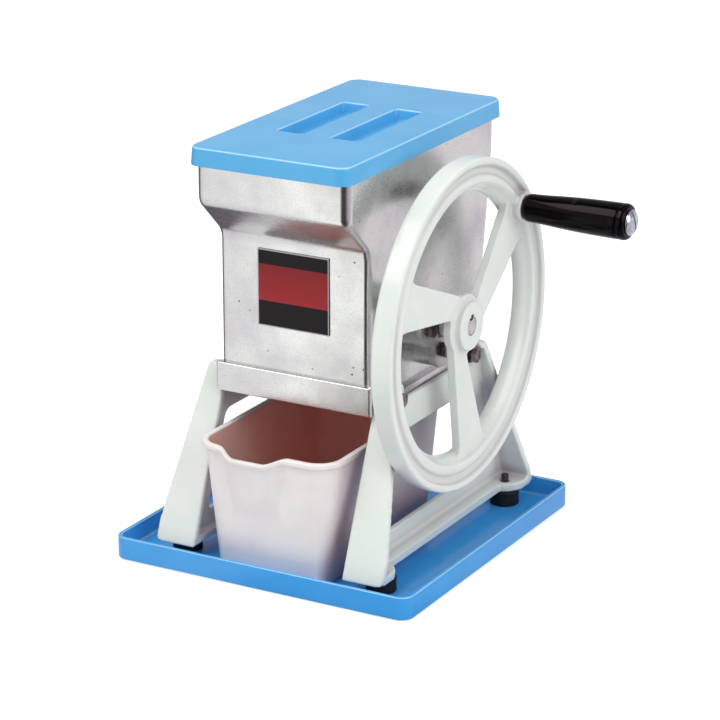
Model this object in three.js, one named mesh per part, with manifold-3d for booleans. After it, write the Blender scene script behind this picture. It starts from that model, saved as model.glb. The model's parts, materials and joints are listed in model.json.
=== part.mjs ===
// Hand cranked ice crusher in a drip tray, with a catch cup, a lift-off lid and a flywheel crank.
// Millimetres. X runs across, with the crank on +X, Y runs to the back and Z runs up.
// The origin is the centre of the tray's underside.
import * as THREE from 'three';
import { mergeVertices } from 'three/addons/utils/BufferGeometryUtils.js';
import Module from 'manifold-3d';

const wasm = await Module();
wasm.setup();

// Clearances and cutting
const fitGap = 0.3;          // between pieces that stay together
const slideGap = 0.4;        // between pieces that turn or slide
const cutOverrun = 2;        // how far a cutter runs past the face that it leaves
const mergeSink = 1;         // how far a joined form reaches into the wall that carries it
const cornerWeld = 0.001;    // corners nearer than this are one corner

// Facets
const arcSteps = 4;          // per rounded corner
const holeSteps = 8;         // per half turn of a hole in a prism
const boltSides = 16;
const hexSides = 6;
const shaftSides = 24;
const hubSides = 32;
const rimSides = 60;

// Driving dimensions
const machineY = 4;          // the frames and the axle are centred a little behind the tray's middle
const tray = { sideRoom: 25.9, rearRoom: 3.1, height: 17.7, wall: 3, floor: 3, corner: 10, edgeRound: 0.8 };
const foot = { radius: 11.5, height: 11.7, edge: 1.2, sideInset: 13.2, endInset: 24.1, socketDepth: 9 };
const stud = { radius: 3, top: 5.5 };

const frame = {
  web: 5, innerEdge: 63.3, topRise: 9, topHalf: 72.6,
  baseHalf: 124.4, baseHeight: 6.3, baseOuter: 84,
  flange: 6, legOuter: 96.6, legTaperStart: 29, topOuter: 79.3, toeRound: 4, capRound: 4,
  capHeight: 5, capReach: 8.4, earHalf: 46, barTopDrop: 13, barBottomDrop: 38.2,
  sillTop: 35, windowInset: 20.6, windowRound: 7, earRound: 8,
  lugLength: 36.4, lugBulge: 12, lugRound: 8,
};
const hopper = {
  wall: 4, bottom: 127.7, top: 319,
  lowerHalf: 62.8, upperHalf: 63.2,
  frontLower: 81.5, frontUpper: 113, slopeStartDrop: 68.5, slopeEndDrop: 39.5,
  rearUpper: 114, rearLower: 89.5, rearLeanDrop: 34,
  lowerCorner: 5, upperCorner: 7,
  rimHeight: 6.5, rimFront: 4.2, rimRear: 6.9, rimRise: 1.5,
};
const apron = { half: 65.4, height: 22.1, proud: 3.5, depth: 4.5, edge: 1.6 };
const bead = { proud: 4.4, height: 8.8, halfLength: 66 };
const ear = { spread: 58.5, rise: 8, bossRadius: 6.4, boltRadius: 3, headAcross: 10, headHeight: 3.8,
  washerRadius: 6.2, washer: 1.2, springRadius: 5.2, spring: 1.2 };
const lid = { endRoom: 0.5, skirt: 13.9, flare: 0.8, wall: 1.8, ceiling: 3, corner: 10, edgeRound: 1.4 };
const pocket = { inner: 11.5, outer: 33.8, halfLength: 50, y: 6, depth: 9, wall: 2, corner: 2.5 };
const label = { half: 30, bottomRoom: 55.9, topRoom: 8.3, thickness: 0.8 };

const axleRise = 52.3;       // from the hopper's bottom edge
const shaft = { radius: 6.75, leftEnd: 93, rightInset: 0.6 };
const bearing = { padFace: 76, flange: 4, armHalf: 13.5, armLength: 22, waistRound: 4,
  neckRadius: 12.5, neck: 1.1, bushRadius: 9.5, bushInner: 58.2, boltRadius: 3, boltDepth: 61.5,
  headAcross: 10.5, headHeight: 4 };
const rotor = { pitch: 22, thickness: 6, tipRadius: 46, rootRadius: 23, prongs: 6, spacerRadius: 12 };
const comb = { thickness: 6, slot: 9.5, innerRadius: 17, tipRoom: 3, chamfer: 2.5 };
const collar = { radius: 13, length: 9 };

const wheel = {
  radius: 125, back: 87.2, front: 103.6, edge: 1.6,
  lip: 4.5, grooveSide: 1.6, floorInset: 9, floorDrop: 3.1, grooveInset: 14, grooveDrop: 2.3,
  crestInset: 19.4, crestDrop: 1.6, beadInset: 20.8, beadDrop: 2.6, coneInset: 23, coneDrop: 5.6,
  rimInset: 26.2,
  hubRadius: 18.5, hubFront: 104.4, hubEdge: 1, hubFillet: 4, discRadius: 22.5,
  sleeveRadius: 12, sleeveBack: 82,
  plate: 7, plateFront: 98.5, rootRadius: 27, rootLead: 18.8, endLead: 16.5, rootTrail: 1, endTrail: 20,
  endFillet: 5,
  rib: 6.5, ribRootBack: 88.3, ribEndBack: 90.6, ribShift: 7,
  pinInset: 15.7, bossRadius: 10.4, bossFront: 105.7,
};
const key = { width: 4, height: 4, length: 14 };
const grip = { length: 84.9, innerRadius: 9.2, waistRadius: 10.8, swellRadius: 13.3, ringRadius: 13.8,
  endRadius: 12, innerEdge: 3, edge: 2.2, waistAt: 11.9, swellAt: 49.9, ring: 6 };
const gripBolt = { radius: 4, headRadius: 9.8, headHeight: 4.3, headRim: 1.2, slot: 2, slotDepth: 2,
  nutAcross: 13, nutHeight: 4.2, pocketRadius: 8.2, pocketDepth: 4.8 };
const cup = {
  x: -1, half: 47.5, front: 119, rear: 46, drop: 25.7, lean: 9, wall: 2.4, floor: 2.8,
  baseCorner: 12, topCorner: 19, toe: 1.5, rimProud: 2.6, rimHeight: 4.2, rimDepth: 2,
  lipX: -9, lipReach: 8.5, lipFlat: 11.8, lipHalf: 30, lipFoot: 18, lipDip: 5, lipHeight: 52,
};
const crankDegrees = 40.3;
const combDegrees = 28;
const spokeDegrees = [36.5, 156.5, 276.5];
const armDegrees = { rear: 0, front: 180, lower: 270 };
const lugReachShare = 0.45;
const edgeBendShare = 0.3;
const frontSteps = 22;
const cupBodyShares = [0.25, 0.45, 0.65, 0.82];

// Colours
const enamel = new THREE.MeshStandardMaterial({ color: 0xe4e8e6, roughness: 0.35, metalness: 0 });
const cast = new THREE.MeshStandardMaterial({ color: 0xc9c6c8, roughness: 0.35, metalness: 0.9 });
const bluePlastic = new THREE.MeshStandardMaterial({ color: 0x4a9fe0, roughness: 0.3, metalness: 0 });
const cupPlastic = new THREE.MeshStandardMaterial({ color: 0xe6dbdc, roughness: 0.45, metalness: 0 });
const blackPlastic = new THREE.MeshStandardMaterial({ color: 0x0d0a0c, roughness: 0.2, metalness: 0 });
const rubber = new THREE.MeshStandardMaterial({ color: 0x0c0c0e, roughness: 0.8, metalness: 0 });
const zinc = new THREE.MeshStandardMaterial({ color: 0xb9c3cf, roughness: 0.3, metalness: 1 });
const steel = new THREE.MeshStandardMaterial({ color: 0x9a9694, roughness: 0.4, metalness: 1 });
const bronze = new THREE.MeshStandardMaterial({ color: 0xa9825a, roughness: 0.4, metalness: 1 });
const labelSheet = new THREE.MeshStandardMaterial({ color: 0x2a1d1d, roughness: 0.4, metalness: 0.2 });

const group = new THREE.Group();

function addPart(name, geometry, material) {
  const mesh = new THREE.Mesh(geometry, material);
  mesh.name = name;
  group.add(mesh);
  return mesh;
}

// Solids are joined and cut as closed meshes with shared corners.
function toSolid(geometry) {
  const bare = geometry.clone();
  bare.deleteAttribute('normal');
  bare.deleteAttribute('uv');
  const merged = mergeVertices(bare, cornerWeld);
  return new wasm.Manifold(new wasm.Mesh({
    numProp: 3,
    vertProperties: new Float32Array(merged.attributes.position.array),
    triVerts: new Uint32Array(merged.index.array),
  }));
}

function toGeometry(solid) {
  const mesh = solid.getMesh();
  const geometry = new THREE.BufferGeometry();
  geometry.setAttribute('position', new THREE.BufferAttribute(mesh.vertProperties, 3));
  geometry.setIndex(new THREE.BufferAttribute(mesh.triVerts, 1));
  geometry.computeVertexNormals();
  return geometry;
}

function join(...geometries) {
  return toGeometry(geometries.map(toSolid).reduce((whole, next) => whole.add(next)));
}

function cut(geometry, ...cutters) {
  return toGeometry(cutters.map(toSolid).reduce((rest, next) => rest.subtract(next), toSolid(geometry)));
}

function common(first, second) {
  return toGeometry(toSolid(first).intersect(toSolid(second)));
}

// A copy on the other side of the machine, with its faces turned back out.
function mirrored(geometry) {
  const copy = toGeometry(toSolid(geometry));
  copy.scale(-1, 1, 1);
  const index = copy.index.array;
  for (let i = 0; i < index.length; i += 3) {
    [index[i], index[i + 1]] = [index[i + 1], index[i]];
  }
  copy.computeVertexNormals();
  return copy;
}

// Prisms: an outline in (Y, Z) runs along X, one in (X, Z) along Y, and one in (X, Y) along Z.
const alongX = new THREE.Matrix4().makeBasis(
  new THREE.Vector3(0, 1, 0), new THREE.Vector3(0, 0, 1), new THREE.Vector3(1, 0, 0));
const alongY = new THREE.Matrix4().makeBasis(
  new THREE.Vector3(-1, 0, 0), new THREE.Vector3(0, 0, 1), new THREE.Vector3(0, 1, 0));

function prism(shape, from, to, basis, curveSegments = arcSteps) {
  const geometry = new THREE.ExtrudeGeometry(shape, { depth: to - from, bevelEnabled: false, curveSegments });
  geometry.translate(0, 0, from);
  return basis ? geometry.applyMatrix4(basis) : geometry;
}

function box(x0, x1, y0, y1, z0, z1) {
  const geometry = new THREE.BoxGeometry(x1 - x0, y1 - y0, z1 - z0);
  return geometry.translate((x0 + x1) / 2, (y0 + y1) / 2, (z0 + z1) / 2);
}

// A turned piece about a line along X or Z. The profile holds pairs of radius and place on the line.
function turned(profile, sides, line, at = [0, 0, 0]) {
  const points = profile.map(([radius, place]) => new THREE.Vector2(radius, place));
  const geometry = new THREE.LatheGeometry(points, sides);
  if (line === 'x') geometry.rotateZ(-Math.PI / 2);
  if (line === 'z') geometry.rotateX(Math.PI / 2);
  return geometry.translate(...at);
}

function disc(radius, from, to, sides, line, at) {
  return turned([[0, from], [radius, from], [radius, to], [0, to]], sides, line, at);
}

function ring(inner, outer, from, to, sides, line, at) {
  return turned([[inner, from], [outer, from], [outer, to], [inner, to], [inner, from]], sides, line, at);
}

function hexOutline(across, hole = 0) {
  const shape = new THREE.Shape();
  const radius = across / 2 / Math.cos(Math.PI / hexSides);
  for (let i = 0; i < hexSides; i++) {
    const angle = (i + 0.5) * 2 * Math.PI / hexSides;
    const place = [radius * Math.cos(angle), radius * Math.sin(angle)];
    if (i === 0) shape.moveTo(...place);
    else shape.lineTo(...place);
  }
  shape.closePath();
  if (hole > 0) shape.holes.push(new THREE.Path().absarc(0, 0, hole, 0, 2 * Math.PI, true));
  return shape;
}

function outline(points) {
  return new THREE.Shape(points.map(([x, y]) => new THREE.Vector2(x, y)));
}

// An outline whose corners are rounded, each by its own radius or by none.
function softOutline(corners) {
  const shape = new THREE.Shape();
  corners.forEach(([x, y, radius = 0], i) => {
    const here = new THREE.Vector2(x, y);
    const neighbour = (step) => {
      const [nx, ny] = corners[(i + corners.length + step) % corners.length];
      const there = new THREE.Vector2(nx, ny);
      return here.clone().lerp(there, radius / here.distanceTo(there));
    };
    const start = neighbour(-1);
    const end = neighbour(1);
    if (i === 0) shape.moveTo(start.x, start.y);
    else shape.lineTo(start.x, start.y);
    if (radius > 0) shape.quadraticCurveTo(here.x, here.y, end.x, end.y);
  });
  shape.closePath();
  return shape;
}

// One level of a loft: a rounded rectangle, counter-clockwise from above, with steps along the front.
function level(z, x, half, front, rear, radius, steps = 1, shift = null) {
  const corners = [[x + half - radius, rear - radius], [x - half + radius, rear - radius],
    [x - half + radius, front + radius], [x + half - radius, front + radius]];
  const points = [];
  corners.forEach(([cx, cy], corner) => {
    for (let i = 0; i <= arcSteps; i++) {
      const angle = (corner + i / arcSteps) * Math.PI / 2;
      points.push(new THREE.Vector3(cx + radius * Math.cos(angle), cy + radius * Math.sin(angle), z));
    }
    if (corner === 2) {
      for (let i = 1; i < steps; i++) {
        points.push(new THREE.Vector3(cx + (corners[3][0] - cx) * i / steps, front, z));
      }
    }
  });
  if (shift) points.forEach(shift);
  return points;
}

// Walls between levels. A closed loft joins its last level to its first, and an open one is capped.
function loft(levels, closed = false) {
  const count = levels[0].length;
  const points = levels.flat();
  const index = [];
  const walls = closed ? levels.length : levels.length - 1;
  for (let i = 0; i < walls; i++) {
    const low = i * count;
    const high = ((i + 1) % levels.length) * count;
    for (let j = 0; j < count; j++) {
      const k = (j + 1) % count;
      index.push(low + j, low + k, high + k, low + j, high + k, high + j);
    }
  }
  if (!closed) {
    const top = (levels.length - 1) * count;
    const middle = (list) => list.reduce((sum, p) => sum.add(p), new THREE.Vector3()).divideScalar(count);
    points.push(middle(levels[0]), middle(levels[levels.length - 1]));
    for (let j = 0; j < count; j++) {
      const k = (j + 1) % count;
      index.push(points.length - 2, k, j, points.length - 1, top + j, top + k);
    }
  }
  const geometry = new THREE.BufferGeometry().setFromPoints(points);
  geometry.setIndex(index);
  geometry.computeVertexNormals();
  return geometry;
}

// Drip tray, round the frames' feet
const trayHalfWidth = frame.legOuter + tray.sideRoom + tray.wall;
const trayHalfDepth = machineY + frame.baseHalf + tray.rearRoom + tray.wall;
function makeTray() {
  const outer = (inset, z) => level(z, 0, trayHalfWidth - inset, inset - trayHalfDepth,
    trayHalfDepth - inset, tray.corner - inset);
  return loft([
    outer(tray.edgeRound, 0),
    outer(0, tray.edgeRound),
    outer(0, tray.height - tray.edgeRound),
    outer(tray.edgeRound, tray.height),
    outer(tray.wall - tray.edgeRound, tray.height),
    outer(tray.wall, tray.height - tray.edgeRound),
    outer(tray.wall, tray.floor),
  ]);
}
addPart('drip_tray', makeTray(), bluePlastic);

// Feet, each with a stud that is screwed up through a lug of the frame
const lugBottom = tray.floor + foot.height + fitGap;
const baseTop = lugBottom + frame.baseHeight;
const footX = frame.legOuter - foot.sideInset;
const footSpread = frame.baseHalf - foot.endInset;
const corners = [['front_left', -1, -1], ['front_right', 1, -1], ['rear_left', -1, 1], ['rear_right', 1, 1]];
for (const [place, sideX, sideY] of corners) {
  const at = [sideX * footX, machineY + sideY * footSpread, 0];
  const top = tray.floor + foot.height;
  const puck = turned([
    [0, tray.floor], [foot.radius - foot.edge, tray.floor], [foot.radius, tray.floor + foot.edge],
    [foot.radius, top - foot.edge], [foot.radius - foot.edge, top],
    [stud.radius + fitGap, top], [stud.radius + fitGap, top - foot.socketDepth],
    [0, top - foot.socketDepth],
  ], shaftSides, 'z', at);
  addPart(`foot_${place}`, puck, rubber);
  const studFrom = top - foot.socketDepth + fitGap;
  addPart(`foot_stud_${place}`, disc(stud.radius, studFrom, baseTop + stud.top, boltSides, 'z', at), steel);
}

// Side frames: an A of web and flange, cast in one piece, outside the bead along the hopper's lower edge
const beadOuter = hopper.lowerHalf + bead.proud;
const webInner = beadOuter + fitGap;
const webOuter = webInner + frame.web;
const earHeight = hopper.bottom + ear.rise;
const frameTop = earHeight + frame.topRise;
const barTop = frameTop - frame.barTopDrop;
const barBottom = frameTop - frame.barBottomDrop;
const legSlope = (frame.baseHalf - frame.topHalf) / (frameTop - lugBottom);
const legHalf = (z) => frame.baseHalf - legSlope * (z - lugBottom);
const flangeAcross = frame.flange * Math.hypot(1, legSlope);

function makeFrame() {
  const half = (z, inset = 0) => legHalf(z) - inset;
  const both = (points) => points.concat(points.map(([y, z, r]) => [-y, z, r]).reverse());
  const placed = (points) => softOutline(points.map(([y, z, r]) => [y + machineY, z, r]));
  const webInset = frame.flange / 2;
  const web = placed(both([
    [half(lugBottom, webInset), lugBottom], [half(frameTop, webInset), frameTop],
    [frame.earHalf, frameTop, frame.capRound], [frame.earHalf, barTop, frame.earRound],
  ]));
  web.holes.push(placed(both([
    [half(frame.sillTop, frame.windowInset), frame.sillTop, frame.windowRound],
    [half(barBottom, frame.windowInset), barBottom, frame.windowRound],
  ])));
  const webSolid = prism(web, webInner, webOuter, alongX);

  // The legs' flanges, trimmed to the taper seen from the front
  const capBottom = frameTop - frame.capHeight;
  const leg = (side) => placed([
    [side * half(lugBottom), lugBottom], [side * half(frameTop), frameTop],
    [side * half(frameTop, frame.capReach), frameTop], [side * half(frameTop, frame.capReach), capBottom],
    [side * half(capBottom, flangeAcross), capBottom], [side * half(lugBottom, flangeAcross), lugBottom],
  ]);
  const trim = prism(softOutline([
    [-frame.innerEdge, lugBottom], [-frame.legOuter, lugBottom, frame.toeRound],
    [-frame.legOuter, frame.legTaperStart], [-frame.topOuter, frameTop, frame.capRound],
    [-frame.innerEdge, frameTop],
  ]), machineY - frame.baseHalf - cutOverrun, machineY + frame.baseHalf + cutOverrun, alongY);
  const legs = [-1, 1].map((side) =>
    common(prism(leg(side), frame.innerEdge, frame.legOuter, alongX), trim));

  const base = box(frame.innerEdge, frame.baseOuter, machineY - half(lugBottom, frame.flange),
    machineY + half(lugBottom, frame.flange), lugBottom, baseTop);
  const lugStart = frame.baseHalf - frame.lugLength;
  const lugEnd = half(baseTop, frame.flange * lugReachShare);
  const lug = (side) => prism(softOutline([
    [webInner, machineY + side * lugStart],
    [frame.baseOuter, machineY + side * lugStart, frame.lugRound],
    [frame.legOuter, machineY + side * (lugStart + frame.lugBulge), frame.lugRound],
    [frame.legOuter, machineY + side * lugEnd],
    [webInner, machineY + side * lugEnd],
  ]), lugBottom, baseTop);
  const whole = join(webSolid, ...legs, base, lug(-1), lug(1));

  const studHoles = [-1, 1].map((side) => disc(stud.radius + fitGap, lugBottom - cutOverrun,
    baseTop + cutOverrun, boltSides, 'z', [footX, machineY + side * footSpread, 0]));
  const boltHoles = [-1, 1].map((side) => disc(ear.boltRadius + fitGap, webInner - cutOverrun,
    webOuter + cutOverrun, boltSides, 'x', [0, machineY + side * ear.spread, earHeight]));
  return cut(whole, ...studHoles, ...boltHoles);
}
const rightFrame = makeFrame();
addPart('right_frame', rightFrame, enamel);
addPart('left_frame', mirrored(rightFrame), enamel);

// Hopper: one thin casting, wide above and drawn in at the front below
const slopeStart = hopper.top - hopper.slopeStartDrop;
const slopeEnd = hopper.top - hopper.slopeEndDrop;
const rearLeanStart = hopper.top - hopper.rearLeanDrop;
const rearLean = (hopper.rearUpper - hopper.rearLower) / (rearLeanStart - hopper.bottom);
const hopperRear = (z) => machineY + Math.min(hopper.rearUpper,
  hopper.rearLower + rearLean * (z - hopper.bottom));
const hopperFront = machineY - hopper.frontLower;
const throatHalf = hopper.lowerHalf - hopper.wall;

function hopperLevels(inset) {
  const lift = inset * Math.tan(Math.PI / 8);
  const make = (z, half, front, rear, corner) => level(z, 0, half - inset, machineY - front + inset,
    rear - inset, corner - inset * (corner - mergeSink) / hopper.wall);
  const rimBottom = hopper.top - hopper.rimHeight;
  const rim = inset > 0 ? 0 : 1;
  return [
    make(hopper.bottom, hopper.lowerHalf, hopper.frontLower, hopperRear(hopper.bottom), hopper.lowerCorner),
    make(slopeStart + lift, hopper.lowerHalf, hopper.frontLower, hopperRear(slopeStart), hopper.lowerCorner),
    make(slopeEnd + lift, hopper.upperHalf, hopper.frontUpper, hopperRear(slopeEnd), hopper.upperCorner),
    make(rearLeanStart, hopper.upperHalf, hopper.frontUpper, hopperRear(hopper.top), hopper.upperCorner),
    make(rimBottom - hopper.rimRise, hopper.upperHalf, hopper.frontUpper, hopperRear(hopper.top),
      hopper.upperCorner),
    make(rimBottom, hopper.upperHalf, hopper.frontUpper + rim * hopper.rimFront,
      hopperRear(hopper.top) + rim * hopper.rimRear, hopper.upperCorner),
    make(hopper.top, hopper.upperHalf, hopper.frontUpper + rim * hopper.rimFront,
      hopperRear(hopper.top) + rim * hopper.rimRear, hopper.upperCorner),
  ];
}

// The bearing's outline: three round-ended arms, rear, front and lower, with softened inner corners
const axleZ = hopper.bottom + axleRise;
const axle = [0, machineY, axleZ];
function armPlace(degrees, along, across) {
  const angle = THREE.MathUtils.degToRad(degrees);
  return [machineY + along * Math.cos(angle) - across * Math.sin(angle),
    axleZ + along * Math.sin(angle) + across * Math.cos(angle)];
}
function bearingOutline() {
  const turns = Object.values(armDegrees);
  const shape = new THREE.Shape();
  turns.forEach((degrees, i) => {
    const next = i + 1 < turns.length ? turns[i + 1] : turns[0] + 360;
    const waist = bearing.armHalf / Math.tan(THREE.MathUtils.degToRad((next - degrees) / 2));
    const turn = THREE.MathUtils.degToRad(degrees);
    const [y, z] = armPlace(degrees, bearing.armLength, 0);
    shape.absarc(y, z, bearing.armHalf, turn - Math.PI / 2, turn + Math.PI / 2, false);
    shape.lineTo(...armPlace(degrees, waist + bearing.waistRound, bearing.armHalf));
    shape.quadraticCurveTo(...armPlace(degrees, waist, bearing.armHalf),
      ...armPlace(next, waist + bearing.waistRound, -bearing.armHalf));
  });
  shape.closePath();
  return shape;
}
const armBoltPlace = (degrees) => [0, ...armPlace(degrees, bearing.armLength, 0)];
const armBoltHoles = (to) => Object.values(armDegrees).map((degrees) => disc(bearing.boltRadius + fitGap,
  bearing.boltDepth, to + cutOverrun, boltSides, 'x', armBoltPlace(degrees)));

function makeHopper() {
  const outer = hopperLevels(0);
  const inner = hopperLevels(hopper.wall);
  const shell = loft([...outer, ...inner.reverse()], true);
  const apronBand = prism(softOutline([
    [-apron.half, hopperFront - apron.proud, apron.edge], [apron.half, hopperFront - apron.proud, apron.edge],
    [apron.half, hopperFront + apron.depth - apron.proud, apron.edge],
    [-apron.half, hopperFront + apron.depth - apron.proud, apron.edge],
  ]), hopper.bottom, hopper.bottom + apron.height);
  const side = [];
  const wallInside = throatHalf + mergeSink;
  side.push(box(wallInside, beadOuter, machineY - bead.halfLength, machineY + bead.halfLength,
    hopper.bottom, hopper.bottom + bead.height));
  for (const way of [-1, 1]) {
    side.push(disc(ear.bossRadius, wallInside, beadOuter, boltSides, 'x',
      [0, machineY + way * ear.spread, earHeight]));
  }
  side.push(prism(bearingOutline(), wallInside, bearing.padFace, alongX, holeSteps));
  const body = join(shell, apronBand, ...side, ...side.map(mirrored));
  const holes = [-1, 1].map((way) => disc(ear.boltRadius + fitGap, throatHalf - cutOverrun,
    beadOuter + cutOverrun, boltSides, 'x', [0, machineY + way * ear.spread, earHeight]));
  holes.push(disc(bearing.bushRadius + fitGap, throatHalf - cutOverrun, bearing.padFace + cutOverrun,
    shaftSides, 'x', axle));
  holes.push(...armBoltHoles(bearing.padFace));
  return cut(body, ...holes, ...holes.map(mirrored));
}
addPart('hopper', makeHopper(), cast);

// Bolts that hold the frames to the hopper, with a flat and a spring washer under each head
for (const [place, sideX, sideY] of corners) {
  const at = [0, machineY + sideY * ear.spread, earHeight];
  const washerFrom = webOuter + fitGap;
  const springFrom = washerFrom + ear.washer + fitGap;
  const headFrom = springFrom + ear.spring + fitGap;
  const pieces = {
    flat_washer: ring(ear.boltRadius + fitGap, ear.washerRadius, washerFrom, washerFrom + ear.washer,
      boltSides, 'x', at),
    spring_washer: ring(ear.boltRadius + fitGap, ear.springRadius, springFrom, springFrom + ear.spring,
      boltSides, 'x', at),
    frame_bolt: join(disc(ear.boltRadius, throatHalf, headFrom + mergeSink, boltSides, 'x', at),
      prism(hexOutline(ear.headAcross), headFrom, headFrom + ear.headHeight, alongX).translate(...at)),
  };
  for (const [name, geometry] of Object.entries(pieces)) {
    addPart(`${name}_${place}`, sideX > 0 ? geometry : mirrored(geometry), steel);
  }
}

// Bearings: a three-bolt flange with a bronze bush on each side
const flangeBack = bearing.padFace + fitGap;
const flangeFace = flangeBack + bearing.flange;
const neckEnd = flangeFace + bearing.neck;
const bearingFlange = cut(
  join(prism(bearingOutline(), flangeBack, flangeFace, alongX, holeSteps),
    disc(bearing.neckRadius, flangeBack, neckEnd, hubSides, 'x', axle)),
  disc(bearing.bushRadius + fitGap, flangeBack - cutOverrun, neckEnd + cutOverrun, shaftSides, 'x', axle),
  ...armBoltHoles(flangeFace),
);
const bush = ring(shaft.radius + fitGap, bearing.bushRadius, bearing.bushInner, neckEnd,
  shaftSides, 'x', axle);
for (const [place, sideX] of [['right', 1], ['left', -1]]) {
  const turn = (geometry) => (sideX > 0 ? geometry : mirrored(geometry));
  addPart(`bearing_flange_${place}`, turn(bearingFlange), cast);
  addPart(`bush_${place}`, turn(bush), bronze);
  for (const [arm, degrees] of Object.entries(armDegrees)) {
    const at = armBoltPlace(degrees);
    const headFrom = flangeFace + fitGap;
    const shank = disc(bearing.boltRadius, bearing.boltDepth + fitGap, headFrom + mergeSink,
      boltSides, 'x', at);
    const head = prism(hexOutline(bearing.headAcross), headFrom, headFrom + bearing.headHeight, alongX);
    addPart(`bearing_bolt_${arm}_${place}`, turn(join(shank, head.translate(...at))), steel);
  }
}

// Crank shaft, with a keyway that is open at its end and runs under the wheel's hub
const shaftEnd = wheel.hubFront - shaft.rightInset;
const keySeat = shaft.radius - key.height / 2;
const keyBar = (gap, to) => box(shaftEnd - key.length - gap, to, machineY - key.width / 2 - gap,
  machineY + key.width / 2 + gap, axleZ + keySeat - gap, axleZ + keySeat + key.height + gap);
const keyway = keyBar(fitGap, wheel.hubFront + cutOverrun);
const shaftBar = disc(shaft.radius, -shaft.leftEnd, shaftEnd, shaftSides, 'x', axle);
addPart('main_shaft', cut(shaftBar, keyway), steel);
addPart('wheel_key', keyBar(0, shaftEnd), steel);
const collarFrom = neckEnd + slideGap;
addPart('shaft_collar', mirrored(ring(shaft.radius + fitGap, collar.radius, collarFrom,
  collarFrom + collar.length, shaftSides, 'x', axle)), steel);

// Rotor: toothed discs on the shaft, held apart by spacers
const discShares = [[0.98, -20, 'root'], [1, -5, 'tip'], [0.95, 6, 'tip'], [1.05, 17, 'root']];
const pitchShares = [-2, -1, 0, 1, 2];
function rotorOutline(turn) {
  const points = [];
  for (let i = 0; i < rotor.prongs; i++) {
    for (const [share, degrees, kind] of discShares) {
      const radius = share * (kind === 'tip' ? rotor.tipRadius : rotor.rootRadius);
      const angle = THREE.MathUtils.degToRad(i * 360 / rotor.prongs + degrees + turn);
      points.push([machineY + radius * Math.cos(angle), axleZ + radius * Math.sin(angle)]);
    }
  }
  const shape = outline(points);
  shape.holes.push(new THREE.Path().absarc(machineY, axleZ, shaft.radius + fitGap, 0, 2 * Math.PI, true));
  return shape;
}
const stagger = 360 / rotor.prongs / pitchShares.length;
const discMiddles = pitchShares.map((share) => share * rotor.pitch);
discMiddles.forEach((middle, i) => {
  addPart(`rotor_disc_${i + 1}`, prism(rotorOutline(i * stagger), middle - rotor.thickness / 2,
    middle + rotor.thickness / 2, alongX, holeSteps), steel);
});
const spacerRing = (from, to) => ring(shaft.radius + fitGap, rotor.spacerRadius, from + fitGap, to - fitGap,
  boltSides, 'x', axle);
discMiddles.slice(1).forEach((middle, i) => {
  addPart(`rotor_spacer_${i + 1}`, spacerRing(discMiddles[i] + rotor.thickness / 2,
    middle - rotor.thickness / 2), steel);
});
const lastDisc = discMiddles[discMiddles.length - 1] + rotor.thickness / 2;
const endSpacer = spacerRing(lastDisc, bearing.bushInner);
addPart('rotor_end_spacer_right', endSpacer, steel);
addPart('rotor_end_spacer_left', mirrored(endSpacer), steel);

// Fixed combs: sloping plates whose slots let the discs' prongs through
const combRise = THREE.MathUtils.degToRad(combDegrees);
function combLength(side) {
  const cos = Math.cos(combRise);
  const sin = Math.sin(combRise);
  const half = comb.thickness / 2;
  if (side < 0) return (hopper.frontLower - hopper.wall - fitGap - half * sin) / cos;
  const wallAtAxle = hopper.rearLower - hopper.wall + rearLean * (axleZ - hopper.bottom);
  return (wallAtAxle - fitGap - half * sin - rearLean * half * cos) / (cos - rearLean * sin);
}
function makeComb(side) {
  const length = combLength(side);
  const half = throatHalf - fitGap;
  const slotEnd = rotor.tipRadius + comb.tipRoom;
  const points = [[-half, comb.innerRadius]];
  for (const middle of discMiddles) {
    const left = middle - comb.slot / 2;
    const right = middle + comb.slot / 2;
    points.push([left, comb.innerRadius], [left, slotEnd], [right, slotEnd], [right, comb.innerRadius]);
  }
  points.push([half, comb.innerRadius], [half, length - comb.chamfer], [half - comb.chamfer, length],
    [-half + comb.chamfer, length], [-half, length - comb.chamfer]);
  const plate = prism(outline(points), -comb.thickness / 2, comb.thickness / 2);
  plate.rotateX(side > 0 ? combRise : Math.PI - combRise);
  return plate.translate(...axle);
}
addPart('front_comb', makeComb(-1), cast);
addPart('rear_comb', makeComb(1), cast);

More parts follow.
